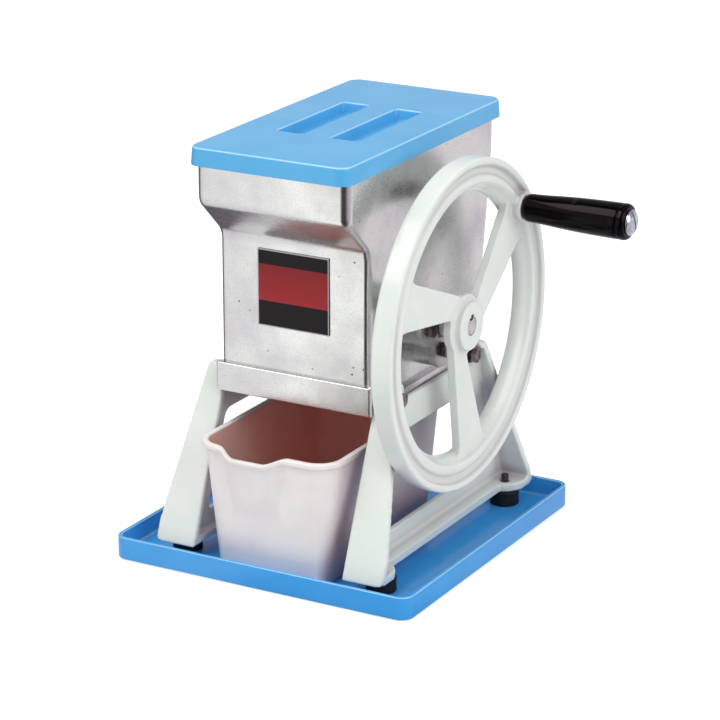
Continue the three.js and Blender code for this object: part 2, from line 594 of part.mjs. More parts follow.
// Flywheel crank: channelled rim, hub and three flat spokes, each with a rib behind it
function makeWheel() {
  const rimPoint = (inset, drop) => [wheel.radius - inset, wheel.front - drop];
  const rimInner = wheel.radius - wheel.rimInset;
  const rim = turned([
    [wheel.radius - wheel.edge, wheel.back], [wheel.radius, wheel.back + wheel.edge],
    rimPoint(0, wheel.edge / 2), rimPoint(wheel.edge / 2, 0), rimPoint(wheel.lip, 0),
    rimPoint(wheel.lip + wheel.grooveSide, between(wheel.grooveDrop, wheel.floorDrop)),
    rimPoint(wheel.floorInset, wheel.floorDrop), rimPoint(wheel.grooveInset, wheel.grooveDrop),
    rimPoint(wheel.crestInset, wheel.crestDrop), rimPoint(wheel.beadInset, wheel.beadDrop),
    rimPoint(wheel.coneInset, wheel.coneDrop),
    [rimInner, wheel.back + wheel.edge], [rimInner + wheel.edge, wheel.back],
    [wheel.radius - wheel.edge, wheel.back],
  ], rimSides, 'x', axle);

  const plateBack = wheel.plateFront - wheel.plate;
  const hub = turned([
    [0, wheel.sleeveBack], [wheel.sleeveRadius, wheel.sleeveBack], [wheel.sleeveRadius, plateBack],
    [wheel.discRadius, plateBack], [wheel.discRadius, wheel.plateFront],
    [wheel.hubRadius + wheel.hubEdge, wheel.plateFront + wheel.hubEdge],
    [wheel.hubRadius, wheel.plateFront + wheel.hubFillet],
    [wheel.hubRadius, wheel.hubFront - wheel.hubEdge], [wheel.hubRadius - wheel.hubEdge, wheel.hubFront],
    [0, wheel.hubFront],
  ], hubSides, 'x', axle);

  const rimMiddle = wheel.radius - between(wheel.grooveInset, wheel.rimInset);
  const along = (radius) => (radius - wheel.rootRadius) / (rimInner - wheel.rootRadius);
  const lead = (radius) => -wheel.rootLead - (wheel.endLead - wheel.rootLead) * along(radius);
  const trail = (radius) => wheel.rootTrail + (wheel.endTrail - wheel.rootTrail) * along(radius);
  const filletStart = rimInner - wheel.endFillet;
  const plateShape = new THREE.Shape();
  plateShape.moveTo(0, -wheel.rootLead);
  plateShape.lineTo(wheel.rootRadius, -wheel.rootLead);
  plateShape.lineTo(filletStart, lead(filletStart));
  plateShape.quadraticCurveTo(rimInner, lead(rimInner), rimMiddle, lead(rimMiddle) - wheel.endFillet);
  plateShape.lineTo(rimMiddle, trail(rimMiddle) + wheel.endFillet);
  plateShape.quadraticCurveTo(rimInner, trail(rimInner), filletStart, trail(filletStart));
  plateShape.lineTo(wheel.rootRadius, wheel.rootTrail);
  plateShape.lineTo(0, wheel.rootTrail);
  plateShape.closePath();
  const spokes = spokeDegrees.flatMap((degrees) => {
    const plate = prism(plateShape, plateBack, wheel.plateFront, alongX);
    const rib = prism(outline([[wheel.ribRootBack, 0], [plateBack + mergeSink, 0],
      [plateBack + mergeSink, rimMiddle], [wheel.ribEndBack, rimMiddle]]),
    -wheel.rib / 2 - wheel.ribShift, wheel.rib / 2 - wheel.ribShift);
    return [plate, rib].map((piece) =>
      piece.rotateX(THREE.MathUtils.degToRad(degrees)).translate(...axle));
  });

  const boss = disc(wheel.bossRadius, wheel.back, wheel.bossFront, hubSides, 'x', crankPin);
  const whole = join(rim, hub, ...spokes, boss);
  const through = (radius, to, sides, at) =>
    disc(radius, wheel.sleeveBack - cutOverrun, to, sides, 'x', at);
  return cut(whole, keyway,
    through(shaft.radius + fitGap, wheel.hubFront + cutOverrun, shaftSides, axle),
    through(gripBolt.radius + fitGap, wheel.bossFront + cutOverrun, boltSides, crankPin),
    through(gripBolt.pocketRadius, wheel.back + gripBolt.pocketDepth, hubSides, crankPin));
}
const between = (first, second) => (first + second) / 2;
const crankAngle = THREE.MathUtils.degToRad(crankDegrees);
const crankRadius = wheel.radius - wheel.pinInset;
const crankPin = [0, machineY + crankRadius * Math.cos(crankAngle),
  axleZ + crankRadius * Math.sin(crankAngle)];
addPart('hand_wheel', makeWheel(), enamel);

// Grip, turning on a slotted bolt that is held by a nut at the back of the rim
const gripBore = gripBolt.radius + slideGap;
const gripStart = wheel.bossFront + slideGap;
const gripEnd = gripStart + grip.length;
addPart('grip', turned([
  [gripBore, gripStart], [grip.innerRadius, gripStart], [grip.waistRadius, gripStart + grip.innerEdge],
  [grip.waistRadius, gripStart + grip.waistAt],
  [between(grip.waistRadius, grip.swellRadius), gripStart + between(grip.waistAt, grip.swellAt)],
  [grip.swellRadius, gripStart + grip.swellAt], [grip.ringRadius, gripEnd - grip.ring],
  [grip.ringRadius, gripEnd - grip.edge],
  [between(grip.ringRadius, grip.endRadius), gripEnd - grip.edge * edgeBendShare],
  [grip.endRadius, gripEnd], [gripBore, gripEnd], [gripBore, gripStart],
], shaftSides, 'x', crankPin), blackPlastic);
const headFrom = gripEnd + fitGap;
const headTop = headFrom + gripBolt.headHeight;
const domeShares = [[0.94, 0.5], [0.7, 0.85]];
const boltBody = turned([
  [0, wheel.back], [gripBolt.radius, wheel.back], [gripBolt.radius, headFrom],
  [gripBolt.headRadius, headFrom], [gripBolt.headRadius, headFrom + gripBolt.headRim],
  ...domeShares.map(([out, up]) => [gripBolt.headRadius * out,
    headFrom + gripBolt.headRim + (gripBolt.headHeight - gripBolt.headRim) * up]),
  [0, headTop],
], shaftSides, 'x', crankPin);
const slotCut = box(headTop - gripBolt.slotDepth, headTop + cutOverrun, -gripBolt.slot / 2, gripBolt.slot / 2,
  -gripBolt.headRadius - cutOverrun, gripBolt.headRadius + cutOverrun).translate(...crankPin);
addPart('grip_bolt', cut(boltBody, slotCut), zinc);
const nutTo = wheel.back + gripBolt.pocketDepth - fitGap;
const gripNut = prism(hexOutline(gripBolt.nutAcross, gripBolt.radius + fitGap), nutTo - gripBolt.nutHeight,
  nutTo, alongX, holeSteps);
addPart('grip_nut', gripNut.translate(...crankPin), steel);

// Lid with two finger pockets, resting on the hopper's rim
function makeLid() {
  const ceiling = hopper.top + fitGap;
  const top = ceiling + lid.ceiling;
  const bottom = top - lid.skirt;
  const half = hopper.upperHalf + slideGap + lid.wall;
  const front = hopper.frontUpper + hopper.rimFront + lid.endRoom + lid.wall;
  const rear = hopper.rearUpper + hopper.rimRear + lid.endRoom + lid.wall;
  const make = (z, inset, corner) => {
    const grow = lid.flare * (top - z) / lid.skirt - inset;
    return level(z, 0, half + grow, machineY - front - grow, machineY + rear + grow, corner);
  };
  const shell = loft([
    make(ceiling, lid.wall, lid.corner - lid.wall),
    make(bottom, lid.wall, lid.corner - lid.wall),
    make(bottom, 0, lid.corner),
    make(top - lid.edgeRound, 0, lid.corner),
    make(top - lid.edgeRound * edgeBendShare, lid.edgeRound * edgeBendShare, lid.corner),
    make(top, lid.edgeRound, lid.corner - lid.edgeRound * edgeBendShare),
  ]);
  const pocketPrism = (side, grow, from, to) => {
    const y0 = pocket.y - pocket.halfLength - grow;
    const y1 = pocket.y + pocket.halfLength + grow;
    const x0 = pocket.inner - grow;
    const x1 = pocket.outer + grow;
    const r = pocket.corner + grow;
    const shape = softOutline([[x0, y0, r], [x1, y0, r], [x1, y1, r], [x0, y1, r]]);
    const geometry = prism(shape, from, to);
    return side > 0 ? geometry : mirrored(geometry);
  };
  const sides = [-1, 1];
  const floor = top - pocket.depth;
  const wells = sides.map((side) => pocketPrism(side, pocket.wall, floor - pocket.wall, ceiling + mergeSink));
  const hollows = sides.map((side) => pocketPrism(side, 0, floor, top + cutOverrun));
  return cut(join(shell, ...wells), ...hollows);
}
addPart('lid', makeLid(), bluePlastic);

// Label plate on the hopper's lower front
const labelBack = hopperFront - fitGap;
const labelBottom = hopper.bottom + label.bottomRoom;
addPart('label_plate', box(-label.half, label.half, labelBack - label.thickness, labelBack,
  labelBottom, slopeStart - label.topRoom), labelSheet);

// Catch cup on the tray's floor: leaning walls, a rolled rim and a pouring lip in the front
function makeCup() {
  const bottom = tray.floor;
  const top = hopper.bottom - cup.drop;
  const rise = (z) => (z - bottom) / (top - bottom);
  const pour = (point) => {
    const up = 1 - (top - point.z) / cup.lipHeight;
    if (up <= 0 || point.y > -cup.front / 2) return;
    const widths = [cup.lipFlat, cup.lipHalf].map((half) => cup.lipFoot + (half - cup.lipFoot) * up);
    const strength = up * (1 - THREE.MathUtils.smoothstep(Math.abs(point.x - cup.lipX), ...widths));
    point.y -= cup.lipReach * strength;
    point.z -= cup.lipDip * strength * up;
  };
  const make = (z, inset) => {
    const corner = cup.baseCorner + (cup.topCorner - cup.baseCorner) * rise(z);
    const reach = cup.lean * rise(z) - inset;
    return level(z, cup.x, cup.half + reach, -cup.front - reach + cup.lean / 2,
      cup.rear + reach + cup.lean / 2, corner - inset, frontSteps, pour);
  };
  const rimFoot = top - cup.rimHeight;
  const heights = (low, high) => cupBodyShares.map((share) => low + (high - low) * share);
  const outside = heights(bottom, rimFoot).map((z) => make(z, 0));
  const inside = heights(bottom + cup.floor, rimFoot).reverse().map((z) => make(z, cup.wall));
  return loft([
    make(bottom, cup.toe),
    make(bottom + cup.toe, 0),
    ...outside,
    make(rimFoot, 0),
    make(rimFoot, -cup.rimProud),
    make(top - cup.rimDepth / 2, -cup.rimProud),
    make(top, cup.toe - cup.rimProud),
    make(top, cup.wall / 2),
    make(top - cup.rimDepth, cup.wall),
    ...inside,
    make(bottom + cup.floor, cup.wall + cup.toe),
  ]);
}
addPart('cup', makeCup(), cupPlastic);

export default group;
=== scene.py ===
import json
import math

import bmesh
import bpy
from mathutils import Matrix, Vector


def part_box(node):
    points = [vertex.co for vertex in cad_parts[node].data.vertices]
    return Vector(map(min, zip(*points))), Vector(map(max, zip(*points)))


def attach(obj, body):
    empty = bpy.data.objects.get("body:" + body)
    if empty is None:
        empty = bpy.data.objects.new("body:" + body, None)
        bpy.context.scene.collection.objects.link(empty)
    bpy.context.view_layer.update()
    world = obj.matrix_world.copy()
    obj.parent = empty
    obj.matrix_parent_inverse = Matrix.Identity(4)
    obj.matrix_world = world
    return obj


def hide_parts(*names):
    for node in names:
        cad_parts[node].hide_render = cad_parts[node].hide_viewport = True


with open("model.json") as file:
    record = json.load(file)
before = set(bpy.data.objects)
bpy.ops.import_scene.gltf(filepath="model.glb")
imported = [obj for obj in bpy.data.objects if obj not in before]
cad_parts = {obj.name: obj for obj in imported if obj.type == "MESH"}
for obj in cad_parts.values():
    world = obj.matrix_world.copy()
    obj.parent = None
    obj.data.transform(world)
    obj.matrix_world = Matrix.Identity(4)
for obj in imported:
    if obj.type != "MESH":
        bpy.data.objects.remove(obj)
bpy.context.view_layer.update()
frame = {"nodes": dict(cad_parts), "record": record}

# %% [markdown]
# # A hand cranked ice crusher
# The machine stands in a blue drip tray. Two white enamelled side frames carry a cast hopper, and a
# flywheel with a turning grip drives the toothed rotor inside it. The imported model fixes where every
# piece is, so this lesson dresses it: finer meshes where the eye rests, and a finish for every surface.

MM = 0.001
scene = bpy.context.scene


def box_mm(node):
    """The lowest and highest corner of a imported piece, in millimetres."""
    low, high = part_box(node)
    return Vector(low) / MM, Vector(high) / MM


# %% [markdown]
# ## The camera
# The photograph was taken from the front, a little to the right of the machine and above it, with a long
# lens. The camera's place was found from the straight edges of the tray, the lid and the hopper.

# %% Camera
CAMERA_PLACE = Vector((1050.1, -1855.4, 857.1))
CAMERA_AIM = Vector((8.9, 5.0, 137.8))
SENSOR_MM = 36
LENS_MM = 148.9
CAMERA_SEES_M = 20
camera_data = bpy.data.cameras.new("Camera")
camera_data.sensor_width = SENSOR_MM
camera_data.lens = LENS_MM
camera_data.clip_end = CAMERA_SEES_M
camera = bpy.data.objects.new("Camera", camera_data)
scene.collection.objects.link(camera)
camera.location = CAMERA_PLACE * MM
camera.rotation_euler = (CAMERA_AIM - CAMERA_PLACE).to_track_quat("-Z", "Y").to_euler()
scene.camera = camera
print("camera distance, m:", round((CAMERA_AIM - CAMERA_PLACE).length * MM, 2))

# %% [markdown]
# ## Colours and nodes
# Colours are written as sRGB hex values, as a colour picker shows them, and one function turns them to
# the linear values that a renderer adds up. One more small function adds a node of any kind, sets it and
# links it, so each finish further down reads as the list of its own nodes.


# %% A linear colour
def linear(hex_colour):
    """The linear colour, with alpha, of an sRGB hex value."""
    channels = [int(hex_colour[i:i + 2], 16) / 255 for i in (1, 3, 5)]
    return [c / 12.92 if c <= 0.04045 else ((c + 0.055) / 1.055) ** 2.4 for c in channels] + [1.0]


print("the grey #808080 is linear", round(linear("#808080")[0], 3))


# %% A node with its settings and links
def add_node(tree, kind, settings=None, links=None):
    """Adds a node. Settings are properties, socket values or a ramp's stops, and links feed sockets."""
    node = tree.nodes.new(kind)
    for name, value in (settings or {}).items():
        if name == "stops":
            elements = node.color_ramp.elements
            while len(elements) < len(value):
                elements.new(0.5)
            for element, (place, colour) in zip(elements, value):
                element.position = place
                element.color = linear(colour)
        elif isinstance(name, int) or name in node.inputs:
            node.inputs[name].default_value = value
        else:
            setattr(node, name, value)
    for name, source in (links or {}).items():
        socket = source if isinstance(source, bpy.types.NodeSocket) else source.outputs[0]
        tree.links.new(socket, node.inputs[name])
    return node


# %% A material and its surface
def new_material(name):
    """A material with an empty node tree, as (material, node tree)."""
    material = bpy.data.materials.new(name)
    material.use_nodes = True
    material.node_tree.nodes.clear()
    print("finish:", name)
    return material, material.node_tree


def set_surface(tree, settings, links):
    """Adds the shader with its settings and links, and puts it on the surface."""
    shader = add_node(tree, "ShaderNodeBsdfPrincipled", settings, links)
    add_node(tree, "ShaderNodeOutputMaterial", {}, {"Surface": shader})


# %% [markdown]
# ## Patterns in real size
# A surface is never even. Three things vary on most of this machine: a pattern of lumps with a known
# spacing, a relief built of such patterns, each with its depth, and a painted shade in the corners that
# light reaches less. All three are measured in millimetres.


# %% A pattern of lumps
def pattern(tree, spacing_mm, detail=2.0, roughness=0.5, stretch=(1, 1, 1)):
    """Lumps about spacing_mm apart, fixed to the piece, drawn out along an axis by a small stretch."""
    place = add_node(tree, "ShaderNodeTexCoord").outputs["Object"]
    mapped = add_node(tree, "ShaderNodeMapping", {"Scale": stretch}, {"Vector": place})
    return add_node(tree, "ShaderNodeTexNoise", {"Scale": 1 / (spacing_mm * MM), "Detail": detail,
                    "Roughness": roughness}, {"Vector": mapped})


# %% A relief of several layers
def relief(tree, *layers):
    """Layers laid over each other, each (pattern, height in millimetres, strength)."""
    below = {}
    for height, depth_mm, strength in layers:
        layer = add_node(tree, "ShaderNodeBump", {"Strength": strength, "Distance": depth_mm * MM},
                         {"Height": height, **below})
        below = {"Normal": layer}
    return layer


# %% A painted shade in hollows
AIR_SAMPLES = 8
PAINTED_SHADE_SHARE = 0.85


def painted_shade_in_hollows(tree, tint, shade, reach_mm, low, high):
    """A colour that turns to a painted shade where something within reach closes off the open air."""
    # Painted shade: the colour darkens where ambient occlusion finds something close by.
    air = add_node(tree, "ShaderNodeAmbientOcclusion", {"samples": AIR_SAMPLES, "Distance": reach_mm * MM})
    closed = add_node(tree, "ShaderNodeMapRange", {"From Min": low, "From Max": high,
                      "To Min": PAINTED_SHADE_SHARE, "To Max": 0}, {"Value": air.outputs["AO"]})
    return add_node(tree, "ShaderNodeMix", {"data_type": "RGBA", 7: linear(shade)},
                    {0: closed, 6: tint}).outputs[2]


# %% [markdown]
# ## Finishes
# Each finish starts from the real material and how its surface was made. The patterns are sized in
# millimetres, so a scratch or a pit is as large on the screen as it is on the machine.

# %% [markdown]
# ### White stoved enamel
# The frames and the wheel are rough castings under a thick coat of white enamel. The coat flows into
# soft dips, so reflections wander a little, and it is faintly green where it is thin. Its hollows are
# painted lilac, as painted shade.


# %% White stoved enamel
def make_enamel():
    material, tree = new_material("white_stoved_enamel")
    tint = add_node(tree, "ShaderNodeValToRGB", {"stops": [(0.35, "#e2ebe5"), (0.65, "#eaedea")]},
                    {0: pattern(tree, 30, 3)})
    dips, peel = pattern(tree, 9), pattern(tree, 1.6)
    # The base colour turns lilac in hollows within 12 mm: painted shade.
    set_surface(tree, {"Roughness": 0.22, "Coat Weight": 0.35, "Coat Roughness": 0.12},
                {"Base Color": painted_shade_in_hollows(tree, tint, "#b3a4b0", 12, 0.35, 0.95),
                 "Normal": relief(tree, (dips, 0.35, 0.6), (peel, 0.05, 0.5))})
    return material


enamel = make_enamel()

# %% [markdown]
# ### Buffed cast aluminium
# The hopper is sand cast and buffed by hand, so it is bright but cloudy. Buffing leaves fine level
# scratches, and small pits of the casting stay open as dark specks of a millimetre or two. The bearing
# pads and flanges are the same metal left plain, so they are duller. The rotor is cast too, in iron.


# %% Buffed cast aluminium
def make_cast(name, bright, dull, low_rough, high_rough):
    material, tree = new_material(name)
    clouds = pattern(tree, 42, 3)
    grain = pattern(tree, 1.3, 3, 0.65)
    scratches = pattern(tree, 3.2, 2, 0.6, (0.2, 0.2, 2.5))
    place = add_node(tree, "ShaderNodeTexCoord").outputs["Object"]
    pits = add_node(tree, "ShaderNodeTexVoronoi", {"Scale": 1 / (8 * MM), "Randomness": 1.0},
                    {"Vector": place})
    near_pit = add_node(tree, "ShaderNodeMapRange", {"From Min": 0.04, "From Max": 0.1, "To Min": 1,
                        "To Max": 0}, {"Value": pits})
    unbuffed = add_node(tree, "ShaderNodeMapRange", {"From Min": 0.54, "From Max": 0.62},
                        {"Value": pattern(tree, 24)})
    open_pits = add_node(tree, "ShaderNodeMath", {"operation": "MULTIPLY"}, {0: near_pit, 1: unbuffed})
    metal = add_node(tree, "ShaderNodeValToRGB", {"stops": [(0.32, dull), (0.6, bright)]}, {0: clouds})
    specks = add_node(tree, "ShaderNodeMapRange", {"From Min": 0.5, "From Max": 0.8, "To Max": 0.45},
                      {"Value": grain})
    speckled = add_node(tree, "ShaderNodeMix", {"data_type": "RGBA", 7: linear("#bdb8bb")},
                        {0: specks, 6: metal}).outputs[2]
    shade = add_node(tree, "ShaderNodeMix", {"data_type": "RGBA", 7: linear("#4e444a")},
                     {0: open_pits, 6: speckled}).outputs[2]
    buffed = add_node(tree, "ShaderNodeMapRange", {"From Min": 0.35, "From Max": 0.65,
                      "To Min": high_rough, "To Max": low_rough}, {"Value": clouds})
    scored = add_node(tree, "ShaderNodeMapRange", {"To Min": -0.03, "To Max": 0.05},
                      {"Value": scratches})
    rough = add_node(tree, "ShaderNodeMath", {"operation": "ADD"}, {0: buffed, 1: scored})
    set_surface(tree, {"Metallic": 1.0},
                {"Base Color": shade, "Roughness": rough,
                 "Normal": relief(tree, (pattern(tree, 22), 0.3, 0.24), (scratches, 0.04, 0.5),
                                  (grain, 0.05, 0.5), (open_pits, -0.5, 0.7))})
    return material


aluminium = make_cast("buffed_cast_aluminium", "#f1f2ef", "#dedcdf", 0.2, 0.3)
plain_cast = make_cast("plain_cast_aluminium", "#dddddb", "#c6c4c6", 0.34, 0.46)
rotor_cast = make_cast("cast_rotor_iron", "#b8b3b0", "#8d8886", 0.35, 0.5)

# %% [markdown]
# ### Blue polystyrene
# The lid and the tray are injection moulded. The mould was polished, so the plastic is glossy with a
# faint ripple. Its outer edges are painted pale, a painted highlight along the rounded edges. Those are
# found by their normals, which lean halfway between level and upright, and by the open air about them,
# so that a corner of the floor takes no highlight. The tray's copy is a little deeper than the lid's, as
# painted shade for the tray.


# %% Blue polystyrene
def make_blue(name, deep, light):
    material, tree = new_material(name)
    tint = add_node(tree, "ShaderNodeValToRGB", {"stops": [(0.3, deep), (0.7, light)]},
                    {0: pattern(tree, 45)})
    normal = add_node(tree, "ShaderNodeNewGeometry").outputs["Normal"]
    lean = add_node(tree, "ShaderNodeSeparateXYZ", {}, {0: normal}).outputs["Z"]
    not_upright = add_node(tree, "ShaderNodeMapRange", {"From Min": 0.25, "From Max": 0.6,
                           "To Max": 0.8}, {"Value": lean})
    not_level = add_node(tree, "ShaderNodeMapRange", {"From Min": 0.8, "From Max": 0.97, "To Min": 1,
                         "To Max": 0}, {"Value": lean})
    edge = add_node(tree, "ShaderNodeMath", {"operation": "MULTIPLY"}, {0: not_upright, 1: not_level})
    air = add_node(tree, "ShaderNodeAmbientOcclusion", {"samples": AIR_SAMPLES, "Distance": 8 * MM})
    free = add_node(tree, "ShaderNodeMapRange", {"From Min": 0.75, "From Max": 0.95},
                    {"Value": air.outputs["AO"]})
    open_edge = add_node(tree, "ShaderNodeMath", {"operation": "MULTIPLY"}, {0: edge, 1: free})
    # Open rounded edges are mixed towards pale blue: a painted highlight.
    painted_edge_highlight = add_node(tree, "ShaderNodeMix", {"data_type": "RGBA", 7: linear("#b6ddf2")},
                      {0: open_edge, 6: tint}).outputs[2]
    flow, ripple = pattern(tree, 26, 1), pattern(tree, 1.2)
    set_surface(tree, {"Roughness": 0.22, "IOR": 1.5, "Coat Weight": 0.06, "Coat Roughness": 0.08},
                {"Base Color": painted_edge_highlight, "Normal": relief(tree, (flow, 0.3, 0.5), (ripple, 0.012, 0.5))})
    return material


blue = make_blue("moulded_blue_polystyrene", "#51ade4", "#5bb4ea")
# The tray's copy of the same plastic is deeper blue: painted shade.
shaded_tray_blue = make_blue("moulded_blue_polystyrene_painted_shade", "#3c9fe8", "#45a6ee")

# %% [markdown]
# ### Cup polyethylene
# The catch cup is a milky moulding in a soft satin polyethylene. Outside it is off-white with a trace of
# pink, and its sides that the frames shade are painted a deeper pink, as painted shade. Inside, its walls
# are painted a dull brownish red, as painted shade.


# %% Cup polyethylene
def make_cup_plastic(name, light, deep, roughness, through, side_shade_colour=None):
    material, tree = new_material(name)
    tint = add_node(tree, "ShaderNodeValToRGB", {"stops": [(0.32, deep), (0.66, light)]},
                    {0: pattern(tree, 38, 3)})
    # Sideways faces turn a deeper pink in hollows: painted shade.
    if side_shade_colour:
        normal = add_node(tree, "ShaderNodeNewGeometry").outputs["Normal"]
        sideways = add_node(tree, "ShaderNodeSeparateXYZ", {}, {0: normal}).outputs["X"]
        size = add_node(tree, "ShaderNodeMath", {"operation": "ABSOLUTE"}, {0: sideways})
        side = add_node(tree, "ShaderNodeMapRange", {"From Min": 0.35, "From Max": 0.85}, {"Value": size})
        shaded = painted_shade_in_hollows(tree, tint, side_shade_colour, 50, 0.3, 0.9)
        tint = add_node(tree, "ShaderNodeMix", {"data_type": "RGBA"},
                        {0: side, 6: tint, 7: shaded}).outputs[2]
    orange_peel, dips = pattern(tree, 1.5), pattern(tree, 18)
    set_surface(tree, {"Roughness": roughness, "IOR": 1.51, "Subsurface Weight": through,
                "Subsurface Scale": 6 * MM, "Subsurface Radius": (1.0, 0.6, 0.5)},
                {"Base Color": tint, "Normal": relief(tree, (orange_peel, 0.03, 0.5), (dips, 0.4, 0.4))})
    return material


cup_outside = make_cup_plastic("moulded_cup_polyethylene", "#f7f3f1", "#f0e8e8", 0.4, 0.0, "#a88a96")
# The inside walls take a deeper reddish colour: painted shade.
cup_inside = make_cup_plastic("cup_polyethylene_painted_inner_shade", "#e5bdb7", "#dbb4ae", 0.55, 0.6)

# %% [markdown]
# ### Black phenolic
# The grip is a compression moulded phenolic, the hard black plastic of old handles. It takes a deep
# gloss, so it shows as black with one broad, sharp reflection.


# %% Black phenolic
def make_phenolic():
    material, tree = new_material("moulded_black_phenolic")
    rough = add_node(tree, "ShaderNodeMapRange", {"To Min": 0.09, "To Max": 0.17},
                     {"Value": pattern(tree, 12)})
    set_surface(tree, {"Base Color": linear("#060405"), "IOR": 1.46, "Specular IOR Level": 0.2,
                "Specular Tint": linear("#f0d6ea")},
                {"Roughness": rough, "Normal": relief(tree, (pattern(tree, 8), 0.06, 0.5))})
    return material


phenolic = make_phenolic()

# %% [markdown]
# ### Black rubber
# The feet are pressed from carbon black rubber. It is matt, with a fine grain and a little dust.


# %% Black rubber
def make_rubber():
    material, tree = new_material("pressed_black_rubber")
    dust = add_node(tree, "ShaderNodeValToRGB", {"stops": [(0.4, "#0b0b0d"), (0.75, "#1a191c")]},
                    {0: pattern(tree, 4, 3)})
    set_surface(tree, {"Roughness": 0.75},
                {"Base Color": dust, "Normal": relief(tree, (pattern(tree, 0.8), 0.08, 0.6))})
    return material


rubber = make_rubber()

# %% [markdown]
# ### Turned and plated metals
# The screw in the grip is bright zinc plate. The shaft and its collar are turned bright, the bolts are
# plain steel with a trace of rust, the washers, studs and key are blackened, and the bushes are oiled
# bronze. Turning leaves rings too fine to show here, so they are drawn coarser, as a stretched pattern.


# %% Turned and plated metals
def make_metal(name, bright, dull, low_rough, high_rough, grain_mm):
    material, tree = new_material(name)
    grain = pattern(tree, grain_mm, 3, 0.6, (3, 1, 1))
    tint = add_node(tree, "ShaderNodeValToRGB", {"stops": [(0.35, dull), (0.6, bright)]},
                    {0: pattern(tree, grain_mm * 3, 3)})
    rough = add_node(tree, "ShaderNodeMapRange", {"From Min": 0.3, "From Max": 0.7, "To Min": low_rough,
                     "To Max": high_rough}, {"Value": grain})
    set_surface(tree, {"Metallic": 1.0},
                {"Base Color": tint, "Roughness": rough, "Normal": relief(tree, (grain, 0.03, 0.5))})
    return material


zinc = make_metal("zinc_plated_screw", "#e2e9f1", "#c8d1dc", 0.16, 0.32, 1.2)
turned_steel = make_metal("turned_shaft_steel", "#eeedec", "#d0ccc9", 0.3, 0.42, 1.0)
steel = make_metal("rusted_bolt_steel", "#9b908e", "#6e5752", 0.3, 0.55, 1.5)
dark_steel = make_metal("blackened_washer_steel", "#5f5a5c", "#3b3537", 0.35, 0.6, 1.5)
bronze = make_metal("oiled_bearing_bronze", "#b08a5c", "#8d6a42", 0.25, 0.45, 1.5)

# %% [markdown]
# ### Label foil
# The label is an aluminium foil printed in three bands: charcoal above, red in the middle, charcoal
# below, with a bare silver edge. The bands are worked out from the height on the label, and no lettering
# is printed on them.

# %% Label foil
label_low, label_high = box_mm("label_plate")
LABEL_EDGE = 0.9
LABEL_RED_FROM = 0.335
LABEL_RED_TO = 0.805
LABEL_BLUR = 0.004


def make_label():
    material, tree = new_material("printed_label_foil")
    place = add_node(tree, "ShaderNodeTexCoord").outputs["Object"]
    axes = add_node(tree, "ShaderNodeSeparateXYZ", {}, {0: place})
    height = add_node(tree, "ShaderNodeMapRange", {"From Min": label_low.z * MM,
                      "From Max": label_high.z * MM}, {"Value": axes.outputs["Z"]})
    bands = add_node(tree, "ShaderNodeValToRGB", {"stops": [
        (0.0, "#130d12"), (LABEL_RED_FROM - LABEL_BLUR, "#130d12"), (LABEL_RED_FROM, "#a42a30"),
        (LABEL_RED_TO, "#8e2228"), (LABEL_RED_TO + LABEL_BLUR, "#130d12"), (1.0, "#181117")]}, {0: height})
    half = (label_high - label_low) / 2
    edges = []
    for axis, middle, reach in (("X", 0, half.x), ("Z", (label_low.z + label_high.z) / 2, half.z)):
        offset = add_node(tree, "ShaderNodeMath", {"operation": "SUBTRACT", 1: middle * MM},
                          {0: axes.outputs[axis]})
        away = add_node(tree, "ShaderNodeMath", {"operation": "ABSOLUTE"}, {0: offset})
        edges.append(add_node(tree, "ShaderNodeMath", {"operation": "GREATER_THAN",
                              1: (reach - LABEL_EDGE) * MM}, {0: away}))
    edge = add_node(tree, "ShaderNodeMath", {"operation": "MAXIMUM"}, {0: edges[0], 1: edges[1]})
    colour = add_node(tree, "ShaderNodeMix", {"data_type": "RGBA", 7: linear("#c4bdc2")},
                      {0: edge, 6: bands}).outputs[2]
    set_surface(tree, {"Roughness": 0.42, "IOR": 1.35},
                {"Base Color": colour, "Metallic": edge,
                 "Normal": relief(tree, (pattern(tree, 6), 0.05, 0.5))})
    return material


label_foil = make_label()

# %% [markdown]
# ## Mesh helpers
# Four kinds of mesh are enough for this machine: a profile spun round a line, an outline led along a
# line, a stack of outlines joined by walls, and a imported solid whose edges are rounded, as casting and
# enamel do. Most of them start from a path with rounded corners.


# %% A path with rounded corners
def rounded_path(corners, steps=6, closed=False):
    """Points along a path. Each corner is (a, b) or (a, b, radius), and is cut by a curve there."""
    points = []
    count = len(corners)
    for i, corner in enumerate(corners):
        here = Vector(corner[:2])
        radius = corner[2] if len(corner) > 2 else 0
        ends = not closed and i in (0, count - 1)
        if radius == 0 or ends:
            points.append(here)
            continue
        before = Vector(corners[(i - 1) % count][:2])
        after = Vector(corners[(i + 1) % count][:2])
        start = here + (before - here).normalized() * min(radius, (before - here).length / 2)
        end = here + (after - here).normalized() * min(radius, (after - here).length / 2)
        for step in range(steps + 1):
            t = step / steps
            points.append(start * (1 - t) ** 2 + here * 2 * t * (1 - t) + end * t ** 2)
    return points


# %% A mesh becomes a piece
SMOOTH_ANGLE = math.radians(38)


